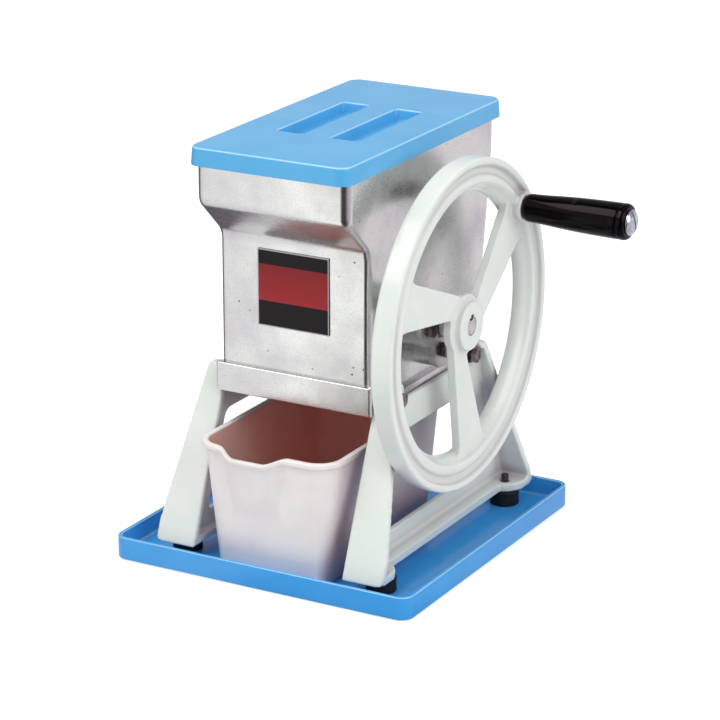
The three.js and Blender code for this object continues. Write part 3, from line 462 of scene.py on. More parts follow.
def add_piece(name, mesh, body, materials, replaces=()):
    """Makes an object of a mesh in millimetres, gives it its finish, and lets it ride on its body."""
    if isinstance(mesh, bmesh.types.BMesh):
        built = mesh
        bmesh.ops.recalc_face_normals(built, faces=built.faces)
        built.transform(Matrix.Scale(MM, 4))
        mesh = bpy.data.meshes.new(name)
        built.to_mesh(mesh)
        built.free()
    mesh.polygons.foreach_set("use_smooth", [True] * len(mesh.polygons))
    mesh.set_sharp_from_angle(angle=SMOOTH_ANGLE)
    piece = bpy.data.objects.new(name, mesh)
    scene.collection.objects.link(piece)
    for material in materials if isinstance(materials, (list, tuple)) else [materials]:
        mesh.materials.append(material)
    if replaces:
        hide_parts(*replaces)
    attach(piece, body)
    print(name, "faces:", len(mesh.polygons))
    return piece


# %% [markdown]
# ### Turned meshes
# The wheel's rim and hub, the grip, the feet and the screw are round, and the real ones were turned or
# moulded round. A profile spun about a line is the exact form for them, and a few corners set it.


# %% A turned mesh
def turned(profile, centre, axis="x", sides=96, mesh=None):
    """Spins (radius, place) pairs round a line through centre. Radius 0 closes on the line."""
    mesh = mesh or bmesh.new()
    rings = []
    for radius, place in profile:
        if radius == 0:
            spots = [(0, 0)]
        else:
            turns = [2 * math.pi * i / sides for i in range(sides)]
            spots = [(radius * math.cos(turn), radius * math.sin(turn)) for turn in turns]
        made = []
        for a, b in spots:
            point = Vector((place, a, b)) if axis == "x" else Vector((a, b, place))
            made.append(mesh.verts.new(Vector(centre) + point))
        rings.append(made)
    closed = profile[0][0] != 0 and profile[-1][0] != 0
    pairs = list(zip(rings, rings[1:])) + ([(rings[-1], rings[0])] if closed else [])
    for low, high in pairs:
        for i in range(sides):
            j = (i + 1) % sides
            corners = [low[i % len(low)], low[j % len(low)], high[j % len(high)], high[i % len(high)]]
            unique = list(dict.fromkeys(corners))
            if len(unique) > 2:
                mesh.faces.new(unique)
    return mesh


# %% [markdown]
# ### Plates
# A spoke, a bearing pad or a keyway has one outline all the way through, so it is enough to lead an
# outline along X. Most of them are drawn about the wheel's axle, so that is found first.

# %% The wheel's axle
wheel_low, wheel_high = box_mm("hand_wheel")
AXLE = Vector((0, (wheel_low.y + wheel_high.y) / 2, (wheel_low.z + wheel_high.z) / 2))
print("axle, mm:", [round(value, 1) for value in AXLE])


# %% A plate
def prism(outline, start, end, turn=0.0, centre=None, mesh=None):
    """A plate whose outline, in (Y, Z) about a centre, is turned by an angle and runs along X."""
    mesh = mesh or bmesh.new()
    centre = AXLE if centre is None else centre
    ends = []
    for x in (start, end):
        ends.append([mesh.verts.new((x, centre.y + a * math.cos(turn) - b * math.sin(turn),
                                     centre.z + a * math.sin(turn) + b * math.cos(turn)))
                     for a, b in outline])
    mesh.faces.new(ends[0])
    mesh.faces.new(list(reversed(ends[1])))
    for i in range(len(outline)):
        j = (i + 1) % len(outline)
        mesh.faces.new((ends[0][i], ends[1][i], ends[1][j], ends[0][j]))
    return mesh


# %% [markdown]
# ### Lofted walls
# The tray, the cup, the lid and the hopper are rounded rectangles seen from above. A loft joins a stack
# of such levels with walls, which gives leaning walls, rims and steps without any cutting.


# %% One level of a loft
def level(z, x, half, front, rear, radius, steps=10, front_steps=1):
    """A rounded rectangle seen from above, as points, with extra points along its front."""
    corners = [(x + half - radius, rear - radius), (x - half + radius, rear - radius),
               (x - half + radius, front + radius), (x + half - radius, front + radius)]
    points = []
    for number, (cx, cy) in enumerate(corners):
        for i in range(steps + 1):
            turn = (number + i / steps) * math.pi / 2
            points.append(Vector((cx + radius * math.cos(turn), cy + radius * math.sin(turn), z)))
        if number == 2:
            for i in range(1, front_steps):
                points.append(Vector((cx + (corners[3][0] - cx) * i / front_steps, front, z)))
    return points


# %% A lofted mesh
def loft(levels, closed=False, second_from=None, mesh=None):
    """Joins levels with walls. From the level second_from on, the walls take the second finish."""
    mesh = mesh or bmesh.new()
    rings = [[mesh.verts.new(point) for point in points] for points in levels]
    pairs = list(zip(rings, rings[1:])) + ([(rings[-1], rings[0])] if closed else [])
    for number, (low, high) in enumerate(pairs):
        for i in range(len(low)):
            j = (i + 1) % len(low)
            face = mesh.faces.new((low[i], low[j], high[j], high[i]))
            face.material_index = 1 if second_from is not None and number >= second_from else 0
    if not closed:
        mesh.faces.new(rings[0])
        mesh.faces.new(rings[-1]).material_index = 0 if second_from is None else 1
    return mesh


# %% [markdown]
# ### Softened solids
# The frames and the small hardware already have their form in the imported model. Its triangles are joined
# to whole faces again, so that a bevel finds the real edges, and only those.


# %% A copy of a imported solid
WELD_MM = 0.005
FLAT_ANGLE = math.radians(0.8)


def copied(node):
    """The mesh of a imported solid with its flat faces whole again, in millimetres."""
    mesh = bmesh.new()
    mesh.from_mesh(frame["nodes"][node].data)
    mesh.transform(Matrix.Scale(1 / MM, 4))
    bmesh.ops.remove_doubles(mesh, verts=mesh.verts, dist=WELD_MM)
    bmesh.ops.dissolve_limit(mesh, angle_limit=FLAT_ANGLE, verts=mesh.verts, edges=mesh.edges)
    return mesh


# %% Rounded edges
def round_edges(piece, width_mm, segments=2, angle=28):
    """Rounds the sharp edges and keeps the flats flat."""
    bevel = piece.modifiers.new("Rounded edges", "BEVEL")
    bevel.width = width_mm * MM
    bevel.segments = segments
    bevel.limit_method = "ANGLE"
    bevel.angle_limit = math.radians(angle)
    bevel.miter_outer = "MITER_ARC"
    bevel.harden_normals = True
    return piece


def soften(node, body, finish, width_mm, segments=2):
    """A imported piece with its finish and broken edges."""
    piece = add_piece(f"{node}_detail", copied(node), body, finish, [node])
    return round_edges(piece, width_mm, segments)


# %% [markdown]
# ### Castings under enamel
# A voxel skin melts forms that touch into one, and a few smoothing passes fill its inner corners, as the
# fillets of a casting and a thick coat of enamel do.


# %% One skin over all forms
def settle(piece):
    """Applies a piece's modifiers, so that its mesh is final."""
    graph = bpy.context.evaluated_depsgraph_get()
    final = bpy.data.meshes.new_from_object(piece.evaluated_get(graph))
    piece.modifiers.clear()
    piece.data = final
    return piece


def flow_over(piece, voxel_mm, passes):
    """Casts all forms of a piece into one skin and lets it flow, as thick enamel does."""
    skin = piece.modifiers.new("One casting", "REMESH")
    skin.mode = "VOXEL"
    skin.voxel_size = voxel_mm * MM
    skin.use_smooth_shade = True
    flow = piece.modifiers.new("Flow", "SMOOTH")
    flow.factor = 0.5
    flow.iterations = passes
    settle(piece)
    piece.data.polygons.foreach_set("use_smooth", [True] * len(piece.data.polygons))
    print(piece.name, "cast faces:", len(piece.data.polygons))
    return piece


# %% [markdown]
# ### Cuts
# Holes, slots and pockets are cut last, out of the finished form, so their edges stay crisp.


# %% A cut
def cut_away(piece, *tools):
    """Cuts closed meshes in millimetres out of a piece."""
    for tool in tools:
        bmesh.ops.recalc_face_normals(tool, faces=tool.faces)
        tool.transform(Matrix.Scale(MM, 4))
        data = bpy.data.meshes.new("cutter")
        tool.to_mesh(data)
        tool.free()
        cutter = bpy.data.objects.new("cutter", data)
        scene.collection.objects.link(cutter)
        cutting = piece.modifiers.new("Cut", "BOOLEAN")
        cutting.operation = "DIFFERENCE"
        cutting.solver = "EXACT"
        cutting.object = cutter
        settle(piece)
        bpy.data.objects.remove(cutter)
    return piece


# %% [markdown]
# ## Drip tray
# A shallow moulded tray with upright walls. Seen from above it is a rounded rectangle, so a stack of
# such outlines, led up over the rim and down to the floor, gives the walls, the rim and the soft inner
# corner in one skin.

# %% Drip tray
tray_low, tray_high = box_mm("drip_tray")
TRAY_CORNER = 10
TRAY_WALL = 3
TRAY_FLOOR = 3
TRAY_EDGE = 1.1
TRAY_FILLET = 3.5
MIN_CORNER = 2


def make_tray():
    half = (tray_high.x - tray_low.x) / 2
    top = tray_high.z
    path = rounded_path([(8, 0), (0, 0, 1.6), (0, top, TRAY_EDGE), (TRAY_WALL, top, TRAY_EDGE),
                         (TRAY_WALL + 0.8, TRAY_FLOOR, TRAY_FILLET), (14, TRAY_FLOOR)], 5)
    rings = [level(z, 0, half - inset, tray_low.y + inset, tray_high.y - inset,
                   max(TRAY_CORNER - inset * 0.7, MIN_CORNER)) for inset, z in path]
    return add_piece("tray_moulding", loft(rings), "tray", shaded_tray_blue, ["drip_tray"])


make_tray()

# %% [markdown]
# ## Catch cup
# A tub with leaning walls, a rolled rim and a pouring lip pressed into its front. The lip is the same
# stack of outlines, pushed forwards and down left of the middle of the front, most at the rim and less
# further down, which leaves a pointed flank on the front wall.

# %% Cup sizes
cup_low, cup_high = box_mm("cup")
CUP_X = -1
CUP_HALF = 47.5
CUP_FRONT = 119
CUP_REAR = 46
CUP_LEAN = 9
CUP_WALL = 2.4
CUP_FLOOR = 2.8
CUP_CORNERS = (12, 19)
CUP_RIM_PROUD = 2.6
CUP_RIM_HEIGHT = 5
CUP_WALL_LEVELS = 24
CUP_FRONT_STEPS = 48
CUP_WELL = 6
LIP_X = -9
LIP_REACH = 8.5
LIP_DIP = 5
LIP_HEIGHT = 52
LIP_FOOT = 18
LIP_WIDTHS = (11.8, 30)
print("cup height, mm:", round(cup_high.z - cup_low.z, 1))


# %% A place between two others
def along(value, low, high, at_low, at_high):
    """A value's place between low and high, as a number between at_low and at_high."""
    share = min(max((value - low) / (high - low), 0), 1)
    return at_low + (at_high - at_low) * share


# %% Pouring lip
def pour_lip(point):
    """Moves a point of the cup's front into the pouring lip."""
    up = 1 - (cup_high.z - point.z) / LIP_HEIGHT
    if up <= 0 or point.y > -CUP_FRONT / 2:
        return point
    flat, outer = [LIP_FOOT + (half - LIP_FOOT) * up for half in LIP_WIDTHS]
    fade = min(max((abs(point.x - LIP_X) - flat) / (outer - flat), 0), 1)
    strength = up * (1 - fade * fade * (3 - 2 * fade))
    return Vector((point.x, point.y - LIP_REACH * strength, point.z - LIP_DIP * strength * up))


# %% Catch cup
def make_cup():
    bottom, top = cup_low.z, cup_high.z
    shoulder, well_top = top - CUP_RIM_HEIGHT, bottom + CUP_FLOOR + CUP_WELL
    heights = [along(i, 0, CUP_WALL_LEVELS, bottom, shoulder) for i in range(1, CUP_WALL_LEVELS + 1)]
    foot = rounded_path([(8, bottom), (0, bottom, 2.5), (0, bottom + 5)], 5)
    outside = [(0, z) for z in heights[1:]]
    rim = rounded_path([(0, shoulder), (-CUP_RIM_PROUD, top - 4.2, 0.8), (-CUP_RIM_PROUD, top, 1.6),
                        (CUP_WALL, top, 1.4), (CUP_WALL, top - 4)], 4)
    inside = [(CUP_WALL, z) for z in reversed(heights) if well_top < z < shoulder]
    well = rounded_path([(CUP_WALL, well_top), (CUP_WALL, bottom + CUP_FLOOR, 4),
                         (CUP_WALL + 8, bottom + CUP_FLOOR)], 5)
    rings = []
    for inset, z in foot + outside + rim + inside + well:
        rise = (z - bottom) / (top - bottom)
        reach = CUP_LEAN * rise - inset
        corner = CUP_CORNERS[0] + (CUP_CORNERS[1] - CUP_CORNERS[0]) * rise - inset
        ring = level(z, CUP_X, CUP_HALF + reach, -CUP_FRONT - reach + CUP_LEAN / 2,
                     CUP_REAR + reach + CUP_LEAN / 2, corner, front_steps=CUP_FRONT_STEPS)
        rings.append([pour_lip(point) for point in ring])
    inner_start = len(foot + outside + rim) - 3
    return add_piece("cup_moulding", loft(rings, second_from=inner_start), "cup",
                     [cup_outside, cup_inside], ["cup"])


make_cup()

# %% [markdown]
# ## Lid
# A shallow moulded cover. Its skin goes from inside the skirt over the edge to the top. The two finger
# pockets are cut through the top and closed by their own wells, whose mouths are softened.

# %% Lid sizes
lid_low, lid_high = box_mm("lid")
LID_WALL = 1.8
LID_CEILING = 3
LID_FLARE = 0.8
LID_EDGE = 2.2
LID_CORNER = 10
LID_REACH = 14
POCKET_X = (11.5, 33.8)
POCKET_Y = 6
POCKET_HALF = 50
POCKET_DEPTH = 9
POCKET_WALL = 2
POCKET_CORNER = 2.5
MOUTH = 1.8
print("lid, mm:", [round(size, 1) for size in lid_high - lid_low])


# %% A finger pocket
def pocket_rings(side, grow, heights):
    """Levels of one finger pocket, grown all round. Heights are pairs of height and extra room."""
    middle = side * (POCKET_X[0] + POCKET_X[1]) / 2
    half = (POCKET_X[1] - POCKET_X[0]) / 2 + grow
    front, rear = POCKET_Y - POCKET_HALF - grow, POCKET_Y + POCKET_HALF + grow
    return [level(z, middle, half + extra, front - extra, rear + extra, POCKET_CORNER + grow, 6)
            for z, extra in heights]


# %% Lid
def make_lid():
    bottom, top = lid_low.z, lid_high.z
    half = (lid_high.x - lid_low.x) / 2 - LID_FLARE
    lean = LID_FLARE / (top - bottom)
    ceiling = top - LID_CEILING
    path = rounded_path([(LID_REACH, ceiling), (LID_WALL, ceiling, 1.5), (LID_WALL, bottom, 0.5),
                         (0, bottom, 0.5), (0, top, LID_EDGE), (LID_REACH, top)], 6)
    rings = []
    for inset, z in path:
        grow = lean * (top - z) - inset
        rings.append(level(z, 0, half + grow, lid_low.y + LID_FLARE - grow, lid_high.y - LID_FLARE + grow,
                           max(LID_CORNER - inset * 0.8, MIN_CORNER), 12))
    lid = add_piece("lid_moulding", loft(rings), "lid", blue, ["lid"])
    holes = [loft(pocket_rings(side, MOUTH - 0.1, [(ceiling - 1, 0), (top + 1, 0)])) for side in (-1, 1)]
    cut_away(lid, *holes)
    lid.data.polygons.foreach_set("use_smooth", [True] * len(lid.data.polygons))
    lid.data.set_sharp_from_angle(angle=SMOOTH_ANGLE)
    floor = top - POCKET_DEPTH
    for side, name in ((-1, "lid_pocket_left"), (1, "lid_pocket_right")):
        outer = pocket_rings(side, POCKET_WALL, [(floor - 2, 0), (ceiling - 0.2, 0)])
        lip = pocket_rings(side, MOUTH, [(top - 0.05, 0.5)])
        inner = pocket_rings(side, 0, [(top, MOUTH), (top - 0.25, 1.0), (top - 0.8, 0.3), (top - 1.7, 0),
                                       (floor + 1.5, 0), (floor + 0.5, -0.5), (floor, -1.6)])
        add_piece(name, loft(outer + lip + inner), "lid", blue)
    return lid


make_lid()

# %% [markdown]
# ## Hopper
# One casting holds the ice, the bearings and the rotor. Its wall is a stack of rounded outlines: upright
# below, stepping forwards in the slope, and upright again above. Fine steps round the upright corners
# let the metal show its narrow dark reflections. The apron, the beads, the bosses and the bearing pads
# stand proud of the wall.

# %% Hopper sizes
hopper_low, hopper_high = box_mm("hopper")
MACHINE_Y = 4
WALL = 4
FRONT_LOWER, FRONT_UPPER = -77.5, -109
REAR_LOWER, REAR_UPPER = 93.5, 118
HALF_LOWER, HALF_UPPER = 62.8, 63.2
CORNER_LOWER, CORNER_UPPER = 5, 7
SLOPE_START, SLOPE_END = hopper_high.z - 68.5, hopper_high.z - 39.5
LEAN_END = hopper_high.z - 34
RIM_BOTTOM = hopper_high.z - 6.5
RIM_FRONT_PROUD, RIM_REAR_PROUD = 4.2, 6.9
RIM_EDGE = 0.8
IN_WALL = 60
print("hopper height, mm:", round(hopper_high.z - hopper_low.z, 1))


# %% Hopper wall
def hopper_ring(z, front, inset, rim):
    """One level of the hopper. Rim is 1 within the rim that stands proud, and 0 below it."""
    half = along(z, SLOPE_START, SLOPE_END, HALF_LOWER, HALF_UPPER) - inset
    rear = along(z, hopper_low.z, LEAN_END, REAR_LOWER, REAR_UPPER) + RIM_REAR_PROUD * rim - inset
    corner = along(z, SLOPE_START, SLOPE_END, CORNER_LOWER, CORNER_UPPER)
    return level(z, 0, half, front - RIM_FRONT_PROUD * rim + inset, rear, max(corner - inset, 1.2), 12)


def make_hopper_wall():
    lift = WALL * math.tan(math.pi / 8)
    bottom, top = hopper_low.z, hopper_high.z
    outside = rounded_path([(FRONT_LOWER, bottom), (FRONT_LOWER, SLOPE_START, 7),
                            (FRONT_UPPER, SLOPE_END, 5), (FRONT_UPPER, RIM_BOTTOM - 1.5)], 8)
    inside = rounded_path([(FRONT_UPPER, top), (FRONT_UPPER, SLOPE_END + lift, 4),
                           (FRONT_LOWER, SLOPE_START + lift, 5), (FRONT_LOWER, bottom)], 6)
    rings = [hopper_ring(z, front, 0, 0) for front, z in outside]
    rings += [hopper_ring(z, FRONT_UPPER, 0, 1) for z in (RIM_BOTTOM, top - RIM_EDGE)]
    rings += [hopper_ring(top, FRONT_UPPER, RIM_EDGE, 1)]
    rings += [hopper_ring(z, front, WALL, 0) for front, z in inside]
    return loft(rings, closed=True)


hopper = add_piece("hopper_casting", make_hopper_wall(), "machine", aluminium, ["hopper"])
round_edges(hopper, 0.5, 2, 50)

# %% [markdown]
# ### Apron and beads
# A raised band, the apron, runs along the lower front, and a bead along each lower side, where round
# bosses take the frame bolts. They are levels too, drawn in where an edge is broken. The apron's upper
# edge is left nearly sharp, because a wide round there mirrors the lamp as a white line.

# %% Apron and beads
BAND_BOTTOM = 127.7
APRON_TOP, APRON_HALF, APRON_FRONT = 149.8, 65.4, -81
BEAD_TOP, BEAD_X, BEAD_HALF, BEAD_REACH = 136.5, 64, 3.2, 66
BOSS_REACH, BOSS_Z, BOSS_RADIUS, BOSS_FACE = 58.5, 135.7, 6.4, 67.2


def make_apron_and_beads():
    mesh = bmesh.new()
    apron = [(BAND_BOTTOM, 0.9), (BAND_BOTTOM + 0.6, 0.15), (BAND_BOTTOM + 1.3, 0), (APRON_TOP - 0.3, 0),
             (APRON_TOP, 0.25)]
    loft([level(z, 0, APRON_HALF - inset, APRON_FRONT + inset, FRONT_LOWER + 1, 1.6, 6)
          for z, inset in apron], mesh=mesh)
    bead = [(BAND_BOTTOM, 0.7), (BAND_BOTTOM + 0.8, 0), (BEAD_TOP - 1, 0), (BEAD_TOP - 0.2, 0.4),
            (BEAD_TOP, 1)]
    for side in (-1, 1):
        loft([level(z, side * BEAD_X, BEAD_HALF - inset, MACHINE_Y - BEAD_REACH + inset,
                    MACHINE_Y + BEAD_REACH - inset, 1.2, 5) for z, inset in bead], mesh=mesh)
        boss = [(0, side * IN_WALL), (BOSS_RADIUS, side * IN_WALL), (BOSS_RADIUS, side * (BOSS_FACE - 0.2)),
                (0, side * BOSS_FACE)]
        for way in (-1, 1):
            turned(boss, (0, MACHINE_Y + way * BOSS_REACH, BOSS_Z), sides=48, mesh=mesh)
    return mesh


add_piece("hopper_apron_and_beads", make_apron_and_beads(), "machine", aluminium)

# %% [markdown]
# ### Bearing pads
# Each flange is bolted to a pad cast on the wall: three round-ended arms about the axle. The pad is a
# little smaller in outline than its flange, which leaves a fine step between them.

# %% Bearing pads
PAD_FACE = 76
PAD_HALF = 12.9
PAD_WAIST = 4
ARM_LENGTH = 22
ARM_TURNS = (0, 180, 270)
ARM_STEPS = 24


def around_axle(turn, out, across):
    """A point this far out along an arm and this far across it, as (Y, Z) about the axle."""
    angle = math.radians(turn)
    return (out * math.cos(angle) - across * math.sin(angle),
            out * math.sin(angle) + across * math.cos(angle))


def bearing_outline(half, rounding):
    """The outline of three round-ended arms about the axle, as (Y, Z) pairs."""
    points = []
    for i, turn in enumerate(ARM_TURNS):
        centre = around_axle(turn, ARM_LENGTH, 0)
        for step in range(ARM_STEPS + 1):
            angle = math.radians(turn - 90 + 180 * step / ARM_STEPS)
            points.append((centre[0] + half * math.cos(angle), centre[1] + half * math.sin(angle)))
        following = ARM_TURNS[i + 1] if i + 1 < len(ARM_TURNS) else ARM_TURNS[0] + 360
        if following - turn < 180:
            waist = half / math.tan(math.radians((following - turn) / 2))
            corner = [around_axle(turn, waist + rounding, half),
                      (*around_axle(turn, waist, half), rounding),
                      around_axle(following, waist + rounding, -half)]
            points += [tuple(point) for point in rounded_path(corner, 6)]
    return points


pads = bmesh.new()
for side in (-1, 1):
    prism(bearing_outline(PAD_HALF, PAD_WAIST), side * IN_WALL, side * PAD_FACE, mesh=pads)
pad_piece = add_piece("hopper_bearing_pads", pads, "machine", plain_cast)
round_edges(pad_piece, 1.0, 3)

# %% [markdown]
# ## Label
# A foil plate with softened edges, on the lower front of the hopper.

# %% Label
label = add_piece("label_sheet", copied("label_plate"), "machine", label_foil,
                  ["label_plate"])
round_edges(label, 0.25, 2)

# %% [markdown]
# ## Side frames
# Each frame is an A of web and flange, cast in one piece and dipped in enamel. A voxel skin over the
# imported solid, then smoothed, gives the full edges and the filled inner corners of a dipped casting.

# %% Side frames
FRAME_VOXEL = 1.0
FRAME_PASSES = 5
for node in ("left_frame", "right_frame"):
    casting = add_piece(f"{node}_casting", copied(node), "machine", enamel, [node])
    flow_over(casting, FRAME_VOXEL, FRAME_PASSES)

# %% [markdown]
# ## Flywheel
# The wheel is a channelled rim on three flat spokes, each with a rib behind it. The rim and the hub are
# turned profiles and the spokes are plates. One voxel skin over all of them fills the corners where
# they meet, as the casting's fillets and the enamel do. Its voxels are finer than the frames', since
# the channel's beads are narrow.

# %% Wheel sizes
grip_low, grip_high = box_mm("grip")
PIN = Vector((0, (grip_low.y + grip_high.y) / 2, (grip_low.z + grip_high.z) / 2))
WHEEL_RADIUS = (wheel_high.y - wheel_low.y) / 2
RIM_FRONT = wheel_high.x - 2.1
RIM_BACK = wheel_low.x + 5.2
RIM_INSIDE = WHEEL_RADIUS - 26.2
SPOKE_TURNS = [math.radians(degrees) for degrees in (36.5, 156.5, 276.5)]
SPOKE_ROOT = 27
SPOKE_LEAD = (-18.8, -16.7, -16.5)
SPOKE_TRAIL = (1, 19.2, 20)
PLATE_FRONT = RIM_FRONT - 5.1
PLATE_BACK = PLATE_FRONT - 7
RIB = (-10.25, -3.75)
RIB_STEPS = 6
SHAFT_RADIUS = 6.75
HUB_NECK, HUB_RADIUS, HUB_FLANGE = 12, 18.5, 23.5
PIN_HOLE, NUT_POCKET, PIN_BOSS = 4.3, 8.2, 10.4
KEYWAY_HALF = 2.3
WHEEL_VOXEL = 0.8
WHEEL_PASSES = 2
print("wheel diameter, mm:", round(2 * WHEEL_RADIUS, 1))


# %% Rim and hub
def add_rim_and_hub(mesh):
    outer = WHEEL_RADIUS
    rim = rounded_path([
        (outer, RIM_BACK, 2.5), (outer, RIM_FRONT, 2.2), (outer - 5.4, RIM_FRONT, 1.6),
        (outer - 6.6, RIM_FRONT - 4.2, 1.4), (outer - 11.6, RIM_FRONT - 4.4, 1.4),
        (outer - 13.2, RIM_FRONT - 1.9, 1.5), (outer - 19.6, RIM_FRONT - 1.2, 2.2),
        (outer - 21.6, RIM_FRONT - 4.6, 1.6), (RIM_INSIDE, RIM_BACK + 6.5, 3),
        (RIM_INSIDE, RIM_BACK, 2)], 6, closed=True)
    turned(rim, AXLE, sides=288, mesh=mesh)
    front, bore = wheel_high.x - 1.3, SHAFT_RADIUS + 0.3
    hub = rounded_path([
        (bore, wheel_low.x), (HUB_NECK, wheel_low.x, 1.5), (HUB_NECK, PLATE_BACK - 1),
        (HUB_FLANGE - 1, PLATE_BACK), (HUB_FLANGE, PLATE_FRONT, 0.8), (HUB_RADIUS, PLATE_FRONT + 0.6, 2.6),
        (HUB_RADIUS, front, 1.2), (bore, front, 0.4)], 6, closed=True)
    turned(hub, AXLE, sides=96, mesh=mesh)


# %% Spokes
def add_spokes(mesh):
    """Adds the flat spokes, each with a rib behind it that gets lower towards the rim."""
    reach = RIM_INSIDE + 7
    plate = rounded_path([
        (0, SPOKE_LEAD[0]), (SPOKE_ROOT, SPOKE_LEAD[0], 2), (RIM_INSIDE - 4, SPOKE_LEAD[1], 5),
        (reach, SPOKE_LEAD[2] - 9), (reach, SPOKE_TRAIL[2] + 9), (RIM_INSIDE - 4, SPOKE_TRAIL[1], 5),
        (SPOKE_ROOT, SPOKE_TRAIL[0], 3), (0, SPOKE_TRAIL[0])], 6, closed=True)
    for turn in SPOKE_TURNS:
        prism(plate, PLATE_BACK, PLATE_FRONT, turn, mesh=mesh)
        for i in range(RIB_STEPS):
            start, end = reach * i / RIB_STEPS - 1, reach * (i + 1) / RIB_STEPS
            back = PLATE_BACK - 3.2 + 2.3 * (i + 0.5) / RIB_STEPS
            prism([(start, RIB[0]), (end, RIB[0]), (end, RIB[1]), (start, RIB[1])], back,
                  PLATE_BACK + 1, turn, mesh=mesh)


# %% Flywheel
def make_wheel():
    mesh = bmesh.new()
    add_rim_and_hub(mesh)
    add_spokes(mesh)
    boss = rounded_path([(PIN_HOLE, RIM_BACK + 5), (PIN_BOSS, RIM_BACK + 5), (PIN_BOSS, wheel_high.x, 1.2),
                         (PIN_HOLE, wheel_high.x, 0.3)], 4, closed=True)
    turned(boss, PIN, sides=64, mesh=mesh)
    wheel = add_piece("flywheel_casting", mesh, "crank", enamel, ["hand_wheel"])
    flow_over(wheel, WHEEL_VOXEL, WHEEL_PASSES)
    start, end, seat = RIM_BACK - 2, wheel_high.x + 1, RIM_BACK + 4.8
    pocket = turned([(0, start), (NUT_POCKET, start), (NUT_POCKET, seat), (0, seat)], PIN)
    hole = turned([(0, start), (PIN_HOLE, start), (PIN_HOLE, end), (0, end)], PIN)
    keyway = prism([(-KEYWAY_HALF, 4), (KEYWAY_HALF, 4), (KEYWAY_HALF, 9.05), (-KEYWAY_HALF, 9.05)],
                   box_mm("wheel_key")[0].x - 0.3, end)
    cut_away(wheel, pocket, hole, keyway)
    return wheel


make_wheel()

# %% [markdown]
# ## Grip and its screw
# The grip is a turned shape: narrow at the wheel, swelling towards the hand, with a small groove and a
# ring at its end. It turns on a long bolt with a slotted, domed head.

# %% Grip
GRIP_BORE = 4.4


def make_grip():
    start, end = grip_low.x, grip_high.x
    profile = rounded_path([
        (GRIP_BORE, start), (9.2, start, 1), (10.8, start + 3, 1.5), (10.9, start + 12, 8),
        (12.4, start + 32, 16), (13.35, start + 52, 16), (13.75, end - 7.4, 3), (13.2, end - 6.6, 0.5),
        (13.2, end - 6.1, 0.4), (13.8, end - 5.6, 0.6), (13.8, end - 2.2, 1.2), (12.4, end, 1.2),
        (GRIP_BORE, end)], 8, closed=True)
    return add_piece("turned_grip", turned(profile, PIN), "grip", phenolic, ["grip"])


make_grip()

# %% [markdown]
# ### Grip screw
# The head's dome is part of the turned profile. The slot is cut through it afterwards, a little askew,
# as a screw is left when it is tight.

# %% Grip screw
screw_low, screw_high = box_mm("grip_bolt")
SCREW_RADIUS = (screw_high.y - screw_low.y) / 2
SHANK_RADIUS = 4
SLOT_HALF = 1
SLOT_DEPTH = 2
SLOT_TURN = 0.35
SCREW_SHARP = math.radians(30)


def make_screw():
    seat = grip_high.x + 0.3
    profile = rounded_path([
        (0, screw_low.x), (SHANK_RADIUS, screw_low.x, 0.8), (SHANK_RADIUS, seat), (SCREW_RADIUS, seat, 0.4),
        (SCREW_RADIUS, seat + 1.4, 0.7), (SCREW_RADIUS * 0.72, screw_high.x - 0.5, 3),
        (0, screw_high.x)], 7)
    screw = add_piece("grip_screw", turned(profile, PIN, sides=96), "crank", zinc, ["grip_bolt"])
    reach = SCREW_RADIUS + 1
    slot = [(-SLOT_HALF, -reach), (SLOT_HALF, -reach), (SLOT_HALF, reach), (-SLOT_HALF, reach)]
    cut_away(screw, prism(slot, screw_high.x - SLOT_DEPTH, screw_high.x + 1, SLOT_TURN, PIN))
    screw.data.set_sharp_from_angle(angle=SCREW_SHARP)
    return screw


make_screw()

# %% [markdown]
# ## Feet
# Pressed rubber pucks with a waist and a softened edge, each on a stud that comes up through its lug. The
# stud's thread is drawn as level rings, which look the same as a helix at this size.

# %% Feet and studs
CORNERS = ("front_left", "front_right", "rear_left", "rear_right")
STUD_RADIUS = 3
THREAD_PITCH = 1
THREAD_TURNS = 6
THREAD_ROOT = 2.6


def make_foot(place):
    low, high = box_mm(f"foot_{place}")
    middle = Vector(((low.x + high.x) / 2, (low.y + high.y) / 2, 0))
    radius, socket = (high.x - low.x) / 2, STUD_RADIUS + 0.3
    puck = rounded_path([
        (0, low.z), (radius, low.z, 1.5), (radius - 0.6, (low.z + high.z) / 2, 3), (radius, high.z, 1.5),
        (socket, high.z), (socket, high.z - 9), (0, high.z - 9)], 6)
    add_piece(f"rubber_foot_{place}", turned(puck, middle, "z", 72), "machine", rubber,
              [f"foot_{place}"])
    low, high = box_mm(f"foot_stud_{place}")
    stud = [(0, low.z), (STUD_RADIUS, low.z)]
    for i in range(THREAD_TURNS):
        crest = high.z - THREAD_TURNS - 1 + i * THREAD_PITCH
        stud += [(STUD_RADIUS, crest), (THREAD_ROOT, crest + THREAD_PITCH / 2)]
    stud += [(STUD_RADIUS, high.z - 0.9), (2.4, high.z), (0, high.z)]
    add_piece(f"threaded_stud_{place}", turned(stud, middle, "z", 32), "machine", dark_steel,
              [f"foot_stud_{place}"])


for place in CORNERS:
    make_foot(place)

# %% [markdown]
# ## Bearing flanges, bolts and washers
# The small hardware keeps its packed form. Its edges are broken by a fraction of a millimetre, which is
# what makes a bolt head or a washer catch the light.

# %% Small hardware
HARDWARE = (("frame_bolt", steel, 0.45), ("flat_washer", dark_steel, 0.2),
            ("spring_washer", dark_steel, 0.2))
for kind, finish, width in HARDWARE:
    for place in CORNERS:
        soften(f"{kind}_{place}", "machine", finish, width)

